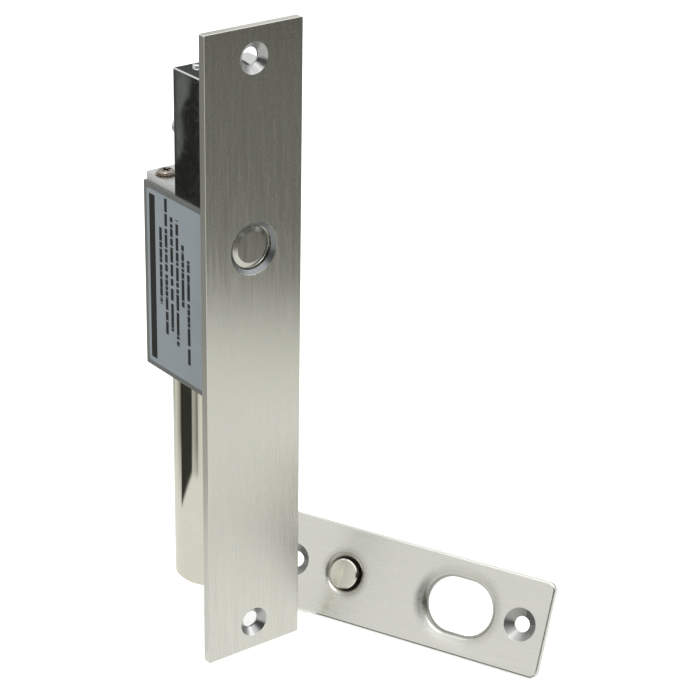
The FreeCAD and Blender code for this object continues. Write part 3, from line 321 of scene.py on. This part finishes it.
def cutter_rings(look, distance, colour):
    """Rings about a sink's axis, darker in the grooves and brighter on the crests."""
    ring = look.math("SINE", look.math("MULTIPLY", distance, RING_PITCH))
    height = look.span(ring, 0.0, 1.0, -1.0, 1.0)
    return look.ramp(height, (0.0, scaled(colour, 0.8)), (1.0, scaled(colour, 1.15)))


def slot_distance(look, where, middle, half_slot):
    """Distance from the middle line of a slot that runs along x, and the place's lean."""
    x, _, z = look.axes(look.vector("SUBTRACT", where, middle))
    beyond = look.math("MAXIMUM", look.math("SUBTRACT", look.math("ABSOLUTE", x), half_slot), 0.0)
    squares = look.math("ADD", look.math("MULTIPLY", beyond, beyond), look.math("MULTIPLY", z, z))
    distance = look.math("SQRT", squares)
    lean = look.math("ADD", look.math("MULTIPLY", x, LEAN_NEAR), look.math("MULTIPLY", z, LEAN_UP))
    return distance, lean


def seat_painted_shade(look, where, middle):
    """Painted soft shade round the magnet's pressed seat, except at its lower far side."""
    distance, lean = slot_distance(look, where, middle, 0.0)
    ring = look.span(distance, SEAT_SHADE, 0.0, SEAT_RADIUS, SEAT_RADIUS + SEAT_REACH)
    return look.math("MULTIPLY", ring, look.span(lean, 0.0, 1.0, *SEAT_LEAN))


def opening_painted_shade(look, where, middle):
    """Painted shade: dark rim of the bolt opening and soft dish round it, spared at the lower far side."""
    distance, lean = slot_distance(look, where, middle, OPENING_HALF_SLOT)
    dish = look.span(distance, DISH_SHADE, 0.0, OPENING_RADIUS, OPENING_RADIUS + DISH_REACH)
    rim = look.span(distance, 1.0, 0.0, OPENING_RADIUS + RIM_START, OPENING_RADIUS + RIM_END)
    dish = look.math("MULTIPLY", dish, look.span(lean, DISH_LEAST, 1.0, *DISH_LEAN))
    rim = look.math("MULTIPLY", rim, look.span(lean, 1.0, RIM_LEAST, *RIM_LEAN))
    return look.math("MAXIMUM", rim, dish)


def polished_metal(name, colour, rough=0.05, wave=6e-6, smear=0.06):
    """Mirror-polished or plated metal: slight waves in the sheet, faint wiping marks."""
    look = Shader(name).set(Metallic=1.0)
    waves = look.noise(45.0, detail=1.0)
    wipes = look.noise(160.0, detail=4.0, roughness=0.7, distortion=1.5)
    specks = look.noise(2600.0, detail=2.0)
    look.colour(look.ramp(wipes, (0.3, scaled(colour, 0.95)), (0.7, colour)))
    look.rough(look.span(wipes, rough, rough + smear, 0.45, 0.85))
    look.bump(waves, wave)
    look.bump(specks, 3e-7)
    return look.material


# Noise cells per metre across and up a turned piece.
TURNED_RINGS = (270.0, 270.0, 2250.0)


def turned_metal(name, colour, rough=(0.18, 0.32)):
    """Lathe-turned metal: fine uneven rings, one above the other."""
    look = Shader(name).set(Metallic=1.0)
    rings = look.noise(detail=2.0, stretch=TURNED_RINGS)
    cloud = look.noise(240.0)
    look.colour(look.ramp(rings, (0.3, scaled(colour, 0.82)), (0.7, scaled(colour, 1.08))))
    look.rough(look.span(cloud, rough[0], rough[1], 0.35, 0.65))
    look.bump(rings, 1.5e-6)
    return look.material


GRAIN_DEPTH = 4e-6


def cast_metal(name, colour, rough=(0.34, 0.48), metallic=1.0):
    """Fine-blasted light alloy with a faint mottled grain."""
    look = Shader(name).set(Metallic=metallic)
    grain = look.noise(2200.0)
    cloud = look.noise(60.0, detail=4.0)
    flecks = look.noise(900.0, roughness=0.7)
    mottled = look.ramp(cloud, (0.35, scaled(colour, 0.95)), (0.65, scaled(colour, 1.03)))
    look.colour(look.mix(look.span(flecks, 0.0, 0.5, 0.52, 0.72), mottled, scaled(colour, 0.88)))
    look.rough(look.span(cloud, rough[0], rough[1], 0.35, 0.65))
    look.bump(grain, GRAIN_DEPTH)
    return look.material


def plastic(name, colour, rough=(0.35, 0.5), coat=0.0):
    """Moulded plastic or rubber with a fine skin texture."""
    look = Shader(name).set(Coat_Weight=coat, Coat_Roughness=0.08)
    skin = look.noise(3000.0, detail=2.0)
    cloud = look.noise(90.0, detail=4.0)
    look.colour(look.ramp(cloud, (0.3, scaled(colour, 0.88)), (0.7, scaled(colour, 1.1))))
    look.rough(look.span(cloud, rough[0], rough[1], 0.3, 0.7))
    look.bump(skin, GRAIN_DEPTH)
    return look.material


def wound_wire(name, colour):
    """Layers of enamelled wire laid side by side round the coil, with painted shade between the turns."""
    look = Shader(name).set(Metallic=0.85, Coat_Weight=0.6, Coat_Roughness=0.12)
    wave = look.node("TexWave", wave_type="BANDS", bands_direction="Z", wave_profile="SIN")
    wave.inputs["Scale"].default_value = 780.0
    wave.inputs["Distortion"].default_value = 0.4
    wave.inputs["Detail"].default_value = 1.0
    look.link(look.coords, wave.inputs["Vector"])
    turns = wave.outputs["Fac"]
    # Darkest between the turns: painted shade in the gaps of the round wire.
    look.colour(look.ramp(turns, (0.0, scaled(colour, 0.35)), (0.5, colour), (1.0, scaled(colour, 1.15))))
    look.rough(look.span(look.noise(300.0), 0.22, 0.36, 0.3, 0.7))
    look.bump(turns, 6e-5)
    return look.material


def clear_glass(name, colour):
    """Glass with faint smears."""
    look = Shader(name).set(Transmission_Weight=0.8, IOR=1.5)
    smear = look.noise(700.0)
    look.colour(look.ramp(smear, (0.3, scaled(colour, 0.9)), (0.7, colour)))
    look.rough(look.span(smear, 0.04, 0.14, 0.4, 0.7))
    return look.material


BAND_INSET = 1.3 * MM
BAND_WIDTH = 3.1 * MM
BAND_MARGIN = 1.5 * MM
FIRST_ROW = 7.3 * MM
ROW_PITCH = 2.95 * MM
ROW_WIDTH = 1.45 * MM
# Start and end of each row in millimetres above the label's foot.
DASH_ROWS = ((21.0, 46.0), (12.0, 56.0), (14.0, 51.0), (10.0, 51.0), (24.0, 44.0), (6.0, 40.0))
DASHES_PER_METRE = 620.0
# Noise below the first value is blank and above the second is ink.
DASH_EDGE = (0.43, 0.44)
# Each row reads the noise this much higher up than the row before, so that no two rows are alike.
ROW_SHIFT = 0.37


def printed_label(name, foil, ink):
    """Metallised foil label: a solid band along its rear edge and rows of plain dashes, no lettering."""
    look = Shader(name).set(Metallic=0.55, Coat_Weight=0.08, Coat_Roughness=0.2)
    _, depth, height = look.axes(look.coords)
    low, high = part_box("rating_label")
    rear = high[1]
    band = band_mask(look, depth, rear - BAND_INSET - BAND_WIDTH, rear - BAND_INSET)
    between_ends = band_mask(look, height, low[2] + BAND_MARGIN, high[2] - BAND_MARGIN)
    printed = look.math("MULTIPLY", band, between_ends)
    for number, (start, end) in enumerate(DASH_ROWS):
        row = rear - FIRST_ROW - number * ROW_PITCH
        shifted = look.vector("ADD", look.coords, (0.0, 0.0, ROW_SHIFT * number))
        dashes = look.noise(coords=shifted, stretch=(0.0, 0.0, DASHES_PER_METRE), detail=2.0)
        marks = look.span(dashes, 0.0, 1.0, *DASH_EDGE)
        on_row = band_mask(look, depth, row - ROW_WIDTH / 2, row + ROW_WIDTH / 2)
        in_row = band_mask(look, height, low[2] + start * MM, low[2] + end * MM)
        marks = look.math("MULTIPLY", marks, look.math("MULTIPLY", on_row, in_row))
        printed = look.math("MAXIMUM", printed, marks)
    cloud = look.noise(70.0, detail=4.0)
    grain = look.noise(1800.0, detail=2.0)
    surface = look.ramp(cloud, (0.3, scaled(foil, 0.95)), (0.7, scaled(foil, 1.04)))
    look.colour(look.mix(printed, surface, ink))
    look.rough(look.span(grain, 0.34, 0.44, 0.3, 0.7))
    look.bump(grain, 1.5e-6)
    return look.material


def band_mask(look, value, low, high):
    """1 where the value lies between low and high, else 0."""
    above = look.math("GREATER_THAN", value, low)
    below = look.math("LESS_THAN", value, high)
    return look.math("MULTIPLY", above, below)


# ---------------------------------------------------------------- finishes of the pieces
record = frame["record"]
mounts = {mount["name"]: mount for mount in record["mounts"]}

# Radius, colour and roughness of each kind of sink; the colours, darker than the steel round them, are
# painted shade and dark reflection of the recesses.
SCREW_SINK = (4.8 * MM, (0.44, 0.445, 0.44), 0.30)
BOLT_BEVEL = (8.25 * MM, (0.24, 0.25, 0.26), 0.40)
STRIKE_SINK = (5.3 * MM, (0.38, 0.38, 0.37), 0.24)
PLATE_ACROSS = (1.0, 0.0, 0.0)
# The strike's own frame: x to its near end, y to its back, z up its width.
STRIKE_TURN = (math.radians(-24.4), 0.0, math.radians(-66.1))
STRIKE_FRAME = Euler(STRIKE_TURN).to_matrix()
STRIKE_ACROSS = tuple(STRIKE_FRAME @ Vector((0.0, 0.0, 1.0)))
OPENING_PAST_SCREW = 21.55 * MM
MAGNET_PAST_SCREW = 62.25 * MM


def plate_sinks():
    """The face plate's two screw sinks and the wide bevel round the bolt."""
    pattern = mounts["faceplate_screws"]
    axis = pattern["axis"]
    half_spacing = pattern["dims"]["spacing_y_mm"] * MM / 2
    screws = [((0.0, 0.0, z), axis, *SCREW_SINK) for z in (half_spacing, -half_spacing)]
    return screws + [(mounts["bolt_nose"]["pos_m"], axis, *BOLT_BEVEL)]


def strike_sinks():
    screws = [mounts["strike_screw_near"], mounts["strike_screw_far"]]
    return [(screw["pos_m"], screw["axis"], *STRIKE_SINK) for screw in screws]


def strike_middles():
    """Middles of the strike's bolt opening and magnet seat in its own frame, past the near screw."""
    near_screw = STRIKE_FRAME.inverted() @ Vector(mounts["strike_screw_near"]["pos_m"])
    return [near_screw - Vector((past, 0.0, 0.0)) for past in (OPENING_PAST_SCREW, MAGNET_PAST_SCREW)]


MATERIALS = {
    "plate_steel": brushed_steel("plate_steel", (0.63, 0.63, 0.585), along=2, across=PLATE_ACROSS,
                                 sinks=plate_sinks()),
    "strike_steel": brushed_steel("strike_steel", (0.73, 0.73, 0.685), along=0, turn=STRIKE_TURN,
                                  across=STRIKE_ACROSS, rough=(0.25, 0.33), contrast=0.035,
                                  sinks=strike_sinks(), shade_painted_at=strike_middles()),
    "case_metal": cast_metal("case_metal", (0.61, 0.62, 0.605), metallic=0.55),
    "cover_steel": cast_metal("cover_steel", (0.21, 0.22, 0.21), rough=(0.32, 0.42), metallic=0.7),
    "label_foil": printed_label("label_foil", (0.315, 0.355, 0.39), (0.008, 0.009, 0.010)),
    "polished_steel": polished_metal("polished_steel", (0.72, 0.74, 0.71), rough=0.03, smear=0.05),
    "nickel_tube": polished_metal("nickel_tube", (0.74, 0.73, 0.65), rough=0.06, wave=1e-6, smear=0.03),
    "zinc_screws": turned_metal("zinc_screws", (0.74, 0.75, 0.77)),
    "dark_screws": turned_metal("dark_screws", (0.34, 0.29, 0.25), rough=(0.06, 0.14)),
    "bolt_steel": brushed_steel("bolt_steel", (0.60, 0.595, 0.55), along=2, rough=(0.16, 0.24)),
    "pin_steel": turned_metal("pin_steel", (0.62, 0.62, 0.62)),
    "iron_core": turned_metal("iron_core", (0.60, 0.59, 0.56)),
    "spring_steel": turned_metal("spring_steel", (0.50, 0.50, 0.50)),
    "clip_steel": plastic("clip_steel", (0.03, 0.03, 0.032), rough=(0.3, 0.42), coat=0.2),
    "lever_steel": cast_metal("lever_steel", (0.62, 0.56, 0.36), rough=(0.26, 0.38)),
    "brass": turned_metal("brass", (0.78, 0.58, 0.26)),
    "plated_brass": polished_metal("plated_brass", (0.55, 0.55, 0.52), rough=0.10, smear=0.06),
    "copper_wire": wound_wire("copper_wire", (0.62, 0.24, 0.10)),
    "bobbin_nylon": plastic("bobbin_nylon", (0.72, 0.70, 0.62)),
    "black_plastic": plastic("black_plastic", (0.022, 0.022, 0.024)),
    "relay_case": plastic("relay_case", (0.03, 0.03, 0.034), rough=(0.2, 0.3), coat=0.3),
    "terminal_green": plastic("terminal_green", (0.03, 0.22, 0.09), rough=(0.25, 0.35)),
    "board_green": plastic("board_green", (0.012, 0.10, 0.035), rough=(0.2, 0.3), coat=0.5),
    "capacitor_can": cast_metal("capacitor_can", (0.75, 0.76, 0.78), rough=(0.2, 0.3)),
    "lead_red": plastic("lead_red", (0.45, 0.02, 0.015), rough=(0.25, 0.35), coat=0.2),
    "reed_glass": clear_glass("reed_glass", (0.72, 0.85, 0.78)),
    "grommet_rubber": plastic("grommet_rubber", (0.018, 0.018, 0.018), rough=(0.5, 0.65)),
    "magnet_nickel": polished_metal("magnet_nickel", (0.72, 0.71, 0.64), rough=0.16, smear=0.1),
}
# The bolt bush is brass with bright plating, so it takes another finish than its material's.
PLATED = {"bolt_bush": "plated_brass"}
for entry in record["subparts"]:
    mesh = nodes[entry["node"]].data
    mesh.materials.clear()
    finish = PLATED.get(entry["node"], entry["material_slot"])
    mesh.materials.append(MATERIALS[finish])


# ---------------------------------------------------------------- return spring
SPRING_WIRE = 0.8 * MM
SPRING_TURNS = 6.5
DEAD_TURNS = 0.8
STEPS_PER_TURN = 40


def coiled_spring(name, node):
    """Compression spring with closed end turns, as large as the CAD node that it stands for."""
    low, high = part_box(node)
    middle_x = (low[0] + high[0]) / 2
    middle_y = (low[1] + high[1]) / 2
    radius = (high[0] - low[0] - SPRING_WIRE) / 2
    foot = low[2] + SPRING_WIRE / 2
    rise = high[2] - low[2] - SPRING_WIRE
    end_rise = SPRING_WIRE * DEAD_TURNS
    points = []
    for step in range(int(SPRING_TURNS * STEPS_PER_TURN) + 1):
        turn = step / STEPS_PER_TURN
        live = min(max((turn - DEAD_TURNS) / (SPRING_TURNS - 2 * DEAD_TURNS), 0.0), 1.0)
        closed = min(turn, DEAD_TURNS) + max(turn - SPRING_TURNS + DEAD_TURNS, 0.0)
        height = foot + closed / DEAD_TURNS * end_rise + live * (rise - 2 * end_rise)
        angle = 2 * math.pi * turn
        points.append((middle_x + radius * math.cos(angle), middle_y + radius * math.sin(angle), height))
    curve = bpy.data.curves.new(name, "CURVE")
    curve.dimensions = "3D"
    curve.bevel_depth = SPRING_WIRE / 2
    curve.bevel_resolution = 3
    curve.use_fill_caps = True
    line = curve.splines.new("POLY")
    line.points.add(len(points) - 1)
    for point, place in zip(line.points, points):
        point.co = (*place, 1.0)
    mesh = bpy.data.meshes.new_from_object(bpy.data.objects.new(name + "_path", curve))
    mesh.materials.clear()
    mesh.materials.append(MATERIALS["spring_steel"])
    mesh.polygons.foreach_set("use_smooth", [True] * len(mesh.polygons))
    spring = bpy.data.objects.new(name, mesh)
    bpy.context.scene.collection.objects.link(spring)
    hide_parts(node)
    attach(spring, "lock")
    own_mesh(spring)


coiled_spring("closed_coil_spring", "return_spring")

# ---------------------------------------------------------------- studio
CAMERA_PLACE = (-0.37021, -0.52585, 0.29562)
CAMERA_TURN = (1.141205, -0.017261, -0.652579)
CAMERA_LENS = 121.19
FLOOR_Z = cad_box[0][2]
FLOOR_HALF = 8.0
FLOOR_GLOW = 0.30
UP = (0.0, 0.0, 1.0)
WHITE = (1.0, 1.0, 1.0)


def flat_sheet(name, corners, material):
    """One flat face that belongs to the studio and not to the object."""
    mesh = bpy.data.meshes.new(name)
    mesh.from_pydata([Vector(corner) for corner in corners], [], [tuple(range(len(corners)))])
    mesh.materials.append(material)
    piece = bpy.data.objects.new(name, mesh)
    bpy.context.scene.collection.objects.link(piece)
    return piece


def studio_paper():
    """White paper that glows a little, so that the floor runs into the white behind it."""
    look = Shader("studio_paper").set(Specular_IOR_Level=0.0)
    cloud = look.noise(2.0, detail=2.0)
    look.colour(look.ramp(cloud, (0.2, 0.93), (0.8, 0.95)))
    look.set(Emission_Color=(1.0, 1.0, 1.0, 1.0), Emission_Strength=FLOOR_GLOW)
    look.rough(look.span(cloud, 0.85, 0.95, 0.3, 0.7))
    return look.material


quarters = [(-1, -1), (1, -1), (1, 1), (-1, 1)]
floor_corners = [(x * FLOOR_HALF, y * FLOOR_HALF, FLOOR_Z) for x, y in quarters]
flat_sheet("studio_floor", floor_corners, studio_paper())


# ---------------------------------------------------------------- reflection cards
class Glow(Nodes):
    """Emission material of a card that is only seen in reflections."""

    def __init__(self, name):
        self.material = bpy.data.materials.new(name)
        self.material.use_nodes = True
        super().__init__(self.material.node_tree)
        self.tree.nodes.clear()
        self.emission = self.node("Emission")
        self.output = self.node("OutputMaterial")
        self.link(self.emission.outputs["Emission"], self.output.inputs["Surface"])

    def one_sided(self):
        """Let rays that meet the card's back pass."""
        mix = self.node("MixShader")
        self.link(self.node("NewGeometry").outputs["Backfacing"], mix.inputs[0])
        self.link(self.emission.outputs["Emission"], mix.inputs[1])
        self.link(self.node("BsdfTransparent").outputs["BSDF"], mix.inputs[2])
        self.link(mix.outputs["Shader"], self.output.inputs["Surface"])
        return self

    def even(self, brightness, tint=WHITE):
        self.emission.inputs["Color"].default_value = (*tint, 1.0)
        self.emission.inputs["Strength"].default_value = brightness
        return self.material

    def coloured(self, source):
        self.link(source, self.emission.inputs["Color"])
        return self.material

    def fading(self, direction, reach, stops, warmth=0.0, start=0.0):
        """Brightness by distance along a direction from start, as (share of reach, value) stops."""
        place = self.dot(self.node("TexCoord").outputs["Object"], direction)
        share = self.span(place, 0.0, 1.0, start, start + reach)
        return self.coloured(self.ramp(share, *[(stop, warm(value, warmth)) for stop, value in stops]))


WARM_LIMIT = 1.4


def warm(value, warmth):
    """Grey with some blue taken away, and most where it is dark."""
    return (value, value, value * (1.0 - warmth * (WARM_LIMIT - value)))


def reflection_card(name, corners, material):
    """Card that shiny metal reflects; it casts no shadow and the camera doesn't see it."""
    card = flat_sheet(name, corners, material)
    card.visible_camera = False
    card.visible_diffuse = False
    card.visible_transmission = False
    card.visible_shadow = False


def floor_patch(name, outline, material, lift):
    """Card that lies this far above the floor."""
    reflection_card(name, [(x, y, FLOOR_Z + lift) for x, y in outline], material)


def floor_strip(name, direction, start, end, half_width, material):
    """Card on the floor that runs along a direction, from start to end past the frame's origin."""
    ahead = Vector(direction[:2])
    side = Vector((-ahead.y, ahead.x)) * half_width
    outline = [ahead * start - side, ahead * end - side, ahead * end + side, ahead * start + side]
    floor_patch(name, outline, material, STRIP_LIFT)


def upright_card(name, left, right, low, high, material):
    """Upright card between two floor places; from its front, left is on the left."""
    corners = [(*left, low), (*right, low), (*right, high), (*left, high)]
    reflection_card(name, corners, material)


def mirrored_on_floor(point, mirror_x):
    """Where on the floor the camera looks by way of a polished side that faces -X."""
    eye = Vector((2 * mirror_x - CAMERA_PLACE[0], CAMERA_PLACE[1], CAMERA_PLACE[2]))
    ray = Vector(point) - eye
    spot = eye + ray * ((eye.z - FLOOR_Z) / -ray.z)
    return (spot.x, spot.y)


# Cards on the floor lie one above the other: strips, then the foot's line, then patches, then the swirl.
STRIP_LIFT = 0.4 * MM
FOOT_LIFT = 0.6 * MM
PATCH_LIFT = 0.8 * MM
SWIRL_LIFT = 1.2 * MM

# What the brushed front shows: white floor close by, olive grey further out, dark beyond.
FRONT_WAY = (0.75, -0.66, 0.0)
FRONT_REACH = 0.80
FRONT_FADE = ((0.01, 1.02), (0.10, 0.94), (0.16, 0.98), (0.21, 0.98), (0.245, 0.93), (0.275, 0.87),
              (0.305, 0.80), (0.325, 0.64), (0.34, 0.32), (0.36, 0.165), (0.60, 0.19), (0.80, 0.21),
              (0.95, 0.04))
front_glow = Glow("front_glow").fading(FRONT_WAY, FRONT_REACH, FRONT_FADE, warmth=0.10)
floor_strip("card_front", FRONT_WAY, start=-0.12, end=3.0, half_width=2.2, material=front_glow)

# What the left edges show.
LEFT_WAY = (-0.575, 0.818, 0.0)
LEFT_REACH = 0.40
LEFT_FADE = ((0.04, 0.96), (0.11, 0.92), (0.20, 0.82), (0.30, 0.68), (0.42, 0.50), (0.60, 0.38),
             (0.85, 0.36))
left_glow = Glow("left_glow").fading(LEFT_WAY, LEFT_REACH, LEFT_FADE, warmth=0.06)
floor_strip("card_left", LEFT_WAY, start=0.016, end=3.0, half_width=1.6, material=left_glow)

# What the solenoid tube shows: a dark sector of floor with a soft left edge, then grey, a thin dark line
# and white. Angles are in degrees from +X round the tube, distances in metres from its axis.
tube_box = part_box("solenoid_tube")
TUBE_Y = (tube_box[0][1] + tube_box[1][1]) / 2
TUBE_NEAR = 0.02
TUBE_REACH = 0.36
SECTOR = (100.0, 215.0)
SECTOR_SIDES = 10
SECTOR_TONES = ((100, 0.86), (112, 0.62), (122, 0.44), (129, 0.26), (132, 0.04), (170, 0.04), (173, 0.52),
                (180, 0.44), (185, 0.26), (188, 0.22), (190, 0.70), (197, 0.84), (215, 0.62))
SECTOR_BLUE = 0.9
NEAR_WHITE = (0.88, 0.88, 0.84)
# The darkest part, between these angles, starts sharply, and START_LEAN metres later for each degree; the
# rest fades in.
DARK_PART = (132.0, 170.0)
DARK_SOFT = 2.0
START_LEAN = 0.0008
SECTOR_START = 0.088
SECTOR_SHARP = 0.006
SECTOR_FULL = 0.150


def polar(angle, distance):
    """Floor place at an angle and a distance from the solenoid tube's axis."""
    turn = math.radians(angle)
    return (distance * math.cos(turn), TUBE_Y + distance * math.sin(turn))


def sector_glow():
    """Tone by angle round the tube, fading in with distance."""
    glow = Glow("sector_glow")
    x, whole_y, _ = glow.axes(glow.node("TexCoord").outputs["Object"])
    y = glow.math("SUBTRACT", whole_y, TUBE_Y)
    # The angle of the opposite direction plus 180 degrees jumps on +X, away from the sector.
    opposite = glow.math("ARCTAN2", glow.math("MULTIPLY", y, -1.0), glow.math("MULTIPLY", x, -1.0))
    angle = glow.math("ADD", glow.math("MULTIPLY", opposite, 180.0 / math.pi), 180.0)
    squares = glow.math("ADD", glow.math("MULTIPLY", x, x), glow.math("MULTIPLY", y, y))
    distance = glow.math("SQRT", squares)
    dark_start, dark_end = DARK_PART
    past_start = glow.span(angle, 0.0, dark_end - dark_start, dark_start, dark_end)
    leaned = glow.math("SUBTRACT", distance, glow.math("MULTIPLY", past_start, START_LEAN))
    shown = glow.span(leaned, 0.0, 1.0, SECTOR_START, SECTOR_START + SECTOR_SHARP)
    deep = glow.span(distance, 0.0, 1.0, SECTOR_START, SECTOR_FULL)
    first, last = SECTOR
    tinted = [((stop - first) / (last - first), (tone, tone, tone * SECTOR_BLUE))
              for stop, tone in SECTOR_TONES]
    tones = glow.ramp(glow.span(angle, 0.0, 1.0, first, last), *tinted)
    after_start = glow.span(angle, 0.0, 1.0, dark_start - DARK_SOFT, dark_start)
    before_end = glow.span(angle, 0.0, 1.0, dark_end + DARK_SOFT, dark_end)
    dark = glow.math("MULTIPLY", after_start, before_end)
    strength = glow.math("MAXIMUM", glow.math("MULTIPLY", dark, shown), glow.math("MULTIPLY", deep, shown))
    return glow.coloured(glow.mix(strength, NEAR_WHITE, tones))


sector_step = (SECTOR[1] - SECTOR[0]) / SECTOR_SIDES
sector_angles = [SECTOR[0] + step * sector_step for step in range(SECTOR_SIDES + 1)]
far_side = [polar(angle, TUBE_REACH) for angle in sector_angles]
near_side = [polar(angle, TUBE_NEAR) for angle in reversed(sector_angles)]
floor_patch("card_tube", far_side + near_side, sector_glow(), PATCH_LIFT)

# What the plate's left edge shows, top to bottom: a card of its own, a few millimetres away.
EDGE_FADE = ((0.05, 0.90), (0.19, 0.78), (0.31, 0.56), (0.43, 0.44), (0.55, 0.36), (0.80, 0.28))
plate_low, plate_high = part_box("face_plate")
EDGE_NEAR = (plate_low[0] - 0.6 * MM, 1.4 * MM)
EDGE_FAR = (plate_low[0] - 8.5 * MM, 7.3 * MM)
plate_height = plate_high[2] - plate_low[2]
edge_glow = Glow("edge_glow").one_sided().fading(UP, plate_height, EDGE_FADE, warmth=0.06, start=FLOOR_Z)
upright_card("card_edge", EDGE_FAR, EDGE_NEAR, plate_low[2], plate_high[2], edge_glow)

# What the polished housing's side shows: nearly black, with one pale swirl. Places on the side are shares:
# across from its rear edge to where the face plate hides it, and up from the case.
housing_low, housing_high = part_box("sensor_housing")
case_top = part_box("case_body")[1][2]
SHOWN_DEPTH = 0.70
HOUSING_PATCH = [(-0.3, -0.1), (1.2, -0.1), (1.2, 1.1), (-0.3, 1.1)]
SWIRL = [(0.12, 1.02), (0.68, 0.96), (0.60, 0.82), (0.40, 0.72), (0.28, 0.62), (0.36, 0.51), (0.36, 0.39),
         (0.24, 0.27), (0.14, 0.20), (0.09, 0.31), (0.09, 0.55), (0.12, 0.78)]


def housing_spot(across, up):
    """Floor place seen in the housing's side."""
    depth = SHOWN_DEPTH * (housing_high[1] - housing_low[1])
    point = (housing_low[0], housing_high[1] - across * depth, case_top + up * (housing_high[2] - case_top))
    return mirrored_on_floor(point, housing_low[0])


housing_glow = Glow("housing_glow").even(0.02, tint=(1.0, 1.0, 0.9))
floor_patch("card_housing", [housing_spot(*place) for place in HOUSING_PATCH], housing_glow, PATCH_LIFT)
swirl_glow = Glow("swirl_glow").even(0.16, tint=(0.92, 1.0, 0.93))
floor_patch("card_swirl", [housing_spot(*place) for place in SWIRL], swirl_glow, SWIRL_LIFT)

# What the housing's roof shows: a dark card behind the lock.
ROOF_LEFT = (0.0281, 0.1368)
ROOF_RIGHT = (0.0698, 0.1074)
ROOF_LOW = 0.103
ROOF_HIGH = 0.135
roof_glow = Glow("roof_glow").even(0.09, tint=(0.95, 1.0, 1.0))
upright_card("card_roof", ROOF_LEFT, ROOF_RIGHT, ROOF_LOW, ROOF_HIGH, roof_glow)

# A dark card on the floor along the strike's foot, in place of the shade there, which its lower edge
# reflects.
FOOT_START = Vector((0.0600, -0.0705))
FOOT_LENGTH = 79.0 * MM
FOOT_NEAR = 0.5 * MM
FOOT_FAR = 3.4 * MM
foot_ahead = -(STRIKE_FRAME @ Vector((1.0, 0.0, 0.0))).xy
foot_out = Vector((-foot_ahead.y, foot_ahead.x))
foot_end = FOOT_START + foot_ahead * FOOT_LENGTH
foot_outline = [FOOT_START + foot_out * FOOT_NEAR, FOOT_START + foot_out * FOOT_FAR,
                foot_end + foot_out * FOOT_FAR, foot_end + foot_out * FOOT_NEAR]
floor_patch("card_foot", foot_outline, Glow("foot_glow").even(0.12), FOOT_LIFT)

# White between the lock and the strike, so that the strike's near end doesn't show the lock's dark side.
WALL_GAP = 1.2 * MM
WALL_FRONT = 1.0 * MM
WALL_BACK = 0.12
WALL_TOP = 0.10
wall_x = plate_high[0] + WALL_GAP
wall_glow = Glow("between_glow").one_sided().even(0.84, tint=(1.0, 1.0, 0.97))
upright_card("card_between", (wall_x, WALL_FRONT), (wall_x, WALL_BACK), FLOOR_Z, WALL_TOP, wall_glow)

# ---------------------------------------------------------------- light
KEY_PLACE = (-0.5, -0.4, 1.2)
FILL_PLACE = (0.9, -0.6, 0.8)


def area_light(name, place, side, power):
    """Square light aimed at the frame's origin."""
    light = bpy.data.lights.new(name, "AREA")
    light.shape = "RECTANGLE"
    light.size = side
    light.size_y = side
    light.energy = power
    lamp = bpy.data.objects.new(name, light)
    lamp.location = place
    lamp.rotation_euler = (-Vector(place)).to_track_quat("-Z", "Y").to_euler()
    lamp.visible_camera = False
    bpy.context.scene.collection.objects.link(lamp)


area_light("key_light", KEY_PLACE, side=0.8, power=5.0)
area_light("fill_light", FILL_PLACE, side=0.6, power=2.0)

# What the world shows: one even white to all but shiny metal, which sees these zones. A zone is the
# direction of its middle, the cosines at which it starts and is full, and its colour.
PLAIN_WHITE = (1.05, 1.05, 1.05)
SIDES = (0.84, 0.84, 0.82)
ZONES = ((UP, 0.45, 0.85, (1.35, 1.35, 1.35)),
         ((-0.56, -0.70, 0.33), 0.79, 0.91, (0.03, 0.032, 0.03)),
         ((0.30, -0.95, -0.10), 0.74, 0.88, (0.03, 0.03, 0.028)))


def studio_world():
    """Bright above, a dark corner behind the camera and a dark horizon in front, for shiny metal only."""
    world = bpy.data.worlds.new("studio_world")
    bpy.context.scene.world = world
    world.use_nodes = True
    sky = Nodes(world.node_tree)
    direction = sky.node("TexCoord").outputs["Generated"]
    seen_in_metal = SIDES
    for way, outer, full, colour in ZONES:
        towards = sky.dot(direction, Vector(way).normalized())
        inside = sky.span(towards, 0.0, 1.0, outer, full, interpolation="SMOOTHSTEP")
        seen_in_metal = sky.mix(inside, seen_in_metal, colour)
    shiny = sky.node("LightPath").outputs["Is Glossy Ray"]
    background = sky.tree.nodes["Background"]
    sky.link(sky.mix(shiny, PLAIN_WHITE, seen_in_metal), background.inputs["Color"])
    background.inputs["Strength"].default_value = 1.0


studio_world()

# ---------------------------------------------------------------- camera
camera_data = bpy.data.cameras.new("camera")
camera_data.sensor_width = 36.0
camera_data.lens = CAMERA_LENS
camera_data.clip_start = 0.02
camera_data.clip_end = 40.0
camera = bpy.data.objects.new("camera", camera_data)
camera.location = CAMERA_PLACE
camera.rotation_euler = CAMERA_TURN
bpy.context.scene.collection.objects.link(camera)
bpy.context.scene.camera = camera
bpy.context.scene.view_settings.view_transform = "Standard"
